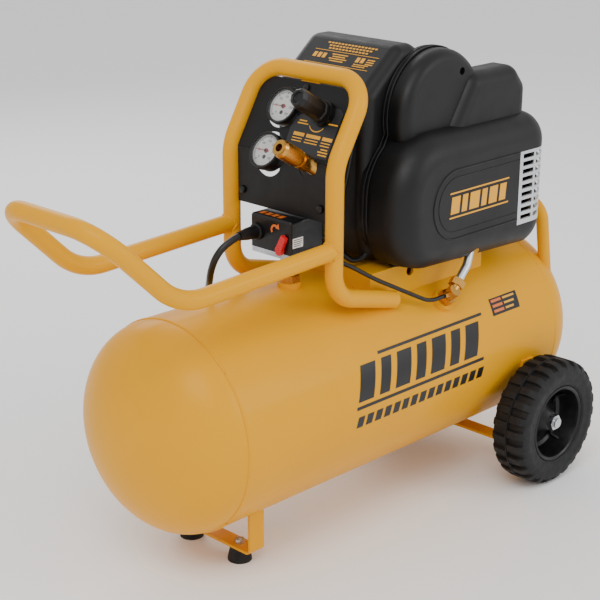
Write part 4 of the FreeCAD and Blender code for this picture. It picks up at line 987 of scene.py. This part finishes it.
class COMPRESSOR_OT_covers(bpy.types.Operator):
    """Adds the covers' seam lips, the moulded groove and their printed marks"""
    bl_idname = "compressor.covers"
    bl_label = "Cover details"

    def execute(self, context):
        outline = self.seam()
        for name, y in (("near", -70.2 * MM), ("far", -63.5 * MM)):
            cover_bead(f"seam_lip_{name}", outline, y, 1.3 * MM)
        face = box("pump_shroud")[0].y
        end = 284
        for name, grow, radius in (("outer", 0.0, 1.5 * MM), ("inner", -11.0, 0.8 * MM)):
            groove = [(end, 519 + grow)] + arc(140, 468, 51 + grow, 90, 270, 24)
            groove.append((end, 417 - grow))
            cover_bead(f"face_groove_{name}", groove, face, radius)
        self.motif(face - 0.05 * MM)
        self.label()
        return {"FINISHED"}

    def seam(self):
        """The seam's outline: over the dome, down the bulge's end, under its corner."""
        return (arc(*SEAM_DOME, 20, 194, 40) + arc(*SEAM_END, 129, 180, 14)
                + arc(*SEAM_CORNER, 180, 262, 16))

    def motif(self, face):
        """Yellow blocks between two rules, printed on the bulge's face."""
        plates = []
        for low, high in ((484.5, 486.8), (448.6, 450.9)):
            plates.append([(124, low), (260, low), (260, high), (124, high)])
        x = 126.0
        for wide in (19, 12, 22, 12, 19, 15):
            plates.append([(x, 455), (x + wide, 455), (x + wide + 2.5, 480), (x + 2.5, 480)])
            x += wide + 5.4
        spots = [[Vector((u * MM, face, v * MM)) for u, v in plate] for plate in plates]
        join_outlines("cover_motif", spots, -Y, 0.25 * MM, "ink_yellow")

    def label(self):
        """Plain rows and figures-like blocks on the cover's sloping top."""
        fall = math.radians(RIDGE_FALL)
        down = Vector((-math.cos(fall), 0, -math.sin(fall)))
        out = Vector((-math.sin(fall), 0, math.cos(fall)))
        origin = Vector((RIDGE_X * MM, 0, RIDGE_Z * MM)) + out * 0.05 * MM

        def plate(left, right, top, bottom):
            return [origin + Y * left * MM + down * top * MM,
                    origin + Y * left * MM + down * bottom * MM,
                    origin + Y * right * MM + down * bottom * MM,
                    origin + Y * right * MM + down * top * MM]

        plates = []
        for top, left, count in ((11, 68, 15), (16, 62, 13), (21, 60, 12)):
            plates += [plate(left - step * 6.4, left - step * 6.4 - 4.6, top, top + 2.6)
                       for step in range(count)]
        plates.append(plate(83, -39, 26.5, 27.4))
        plates += [plate(80 - step * 9, 73.6 - step * 9, 32, 41) for step in range(3)]
        plates += [plate(-2 - step * 9, -8.4 - step * 9, 31, 40) for step in range(2)]
        plates += [plate(48 - shift, 14 + shift, top, top + 1.8)
                   for shift, top in ((2, 31), (5, 35), (0, 39), (4, 43))]
        plates += [plate(-22, -36, 32 + row * 4, 33.8 + row * 4) for row in range(3)]
        plates += [plate(-2, -30 + row * 4, 43 + row * 3.4, 44.5 + row * 3.4)
                   for row in range(2)]
        plates.append(plate(88, -34, 51, 51.9))
        join_outlines("cover_label", plates, out, 0.2 * MM, "ink_yellow")


class COMPRESSOR_OT_switch(bpy.types.Operator):
    """Prints the switch cover's stripes, turn arrow and rating plate"""
    bl_idname = "compressor.switch"
    bl_label = "Switch details"

    def execute(self, context):
        low, high = box("switch_cover")
        front = low.x - 0.05 * MM
        stripes = []
        for start in (24, 12, 0, -12):
            y = start * MM
            stripes.append([Vector((low.x + inset * MM, y - shift * MM, high.z + 0.05 * MM))
                            for inset, shift in ((6, 0), (6, 8), (17, 8), (17, 0))])
        join_outlines("switch_stripes", stripes, Z, 0.2 * MM, "ink_orange")
        blades = []
        ring_y, ring_z = -14.5, 454.5
        inner = arc(ring_y, ring_z, 5.0, 60, 215, 12)
        outer = arc(ring_y, ring_z, 8.2, 60, 215, 12)
        for index in range(12):
            quad = (inner[index], outer[index], outer[index + 1], inner[index + 1])
            blades.append([Vector((front, (2 * ring_y - y) * MM, z * MM)) for y, z in quad])
        tip = [(ring_y + 7, ring_z + 10.5), (ring_y + 1, ring_z + 3.2),
               (ring_y + 8.6, ring_z + 2.4)]
        blades.append([Vector((front, (2 * ring_y - y) * MM, z * MM)) for y, z in tip])
        join_outlines("switch_arrow", blades, -X, 0.2 * MM, "ink_orange")
        side = low.y - 0.05 * MM
        plate = [Vector((x * MM, side, z * MM)) for x, z in
                 ((-99, 433), (-79, 433), (-79, 447), (-99, 447))]
        join_outlines("rating_plate", [plate], -Y, 0.2 * MM, "vinyl_white")
        rows = []
        for row in range(4):
            z = 435.5 + row * 2.8
            rows.append([Vector((x * MM, side - 0.2 * MM, height * MM)) for x, height in
                         ((-97, z), (-83 + row, z), (-83 + row, z + 1), (-97, z + 1))])
        join_outlines("rating_rows", rows, -Y, 0.1 * MM, "ink_black")
        return {"FINISHED"}


# ---------------------------------------------------------------- panel and registration
OPERATORS = (COMPRESSOR_OT_finishes, COMPRESSOR_OT_stage, COMPRESSOR_OT_cord,
             COMPRESSOR_OT_tyres, COMPRESSOR_OT_rims, COMPRESSOR_OT_welds,
             COMPRESSOR_OT_gauges, COMPRESSOR_OT_knob, COMPRESSOR_OT_screws,
             COMPRESSOR_OT_tank_graphics, COMPRESSOR_OT_panel_graphics,
             COMPRESSOR_OT_covers, COMPRESSOR_OT_switch)
GROUPS = {"compressor_finish": CompressorFinish, "compressor_tyre": CompressorTyre,
          "compressor_cord": CompressorCord, "compressor_stage": CompressorStage}


class COMPRESSOR_PT_panel(bpy.types.Panel):
    """Lists the compressor's settings and steps"""
    bl_idname = "COMPRESSOR_PT_panel"
    bl_label = "Compressor"
    bl_space_type = "VIEW_3D"
    bl_region_type = "UI"
    bl_category = "Compressor"

    def draw(self, context):
        for group in GROUPS:
            settings = getattr(context.scene, group)
            for name in settings.bl_rna.properties.keys():
                if name not in ("rna_type", "name"):
                    self.layout.prop(settings, name)
        for operator in OPERATORS:
            self.layout.operator(operator.bl_idname)


def register():
    for kind in (*GROUPS.values(), *OPERATORS, COMPRESSOR_PT_panel):
        bpy.utils.register_class(kind)
    for name, kind in GROUPS.items():
        setattr(bpy.types.Scene, name, PointerProperty(type=kind))


def unregister():
    for name in GROUPS:
        delattr(bpy.types.Scene, name)
    for kind in (COMPRESSOR_PT_panel, *reversed(OPERATORS), *GROUPS.values()):
        bpy.utils.unregister_class(kind)


def main():
    """Registers the add-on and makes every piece."""
    register()
    for operator in OPERATORS:
        area, name = operator.bl_idname.split(".")
        getattr(getattr(bpy.ops, area), name)()


if __name__ == "__main__":
    main()
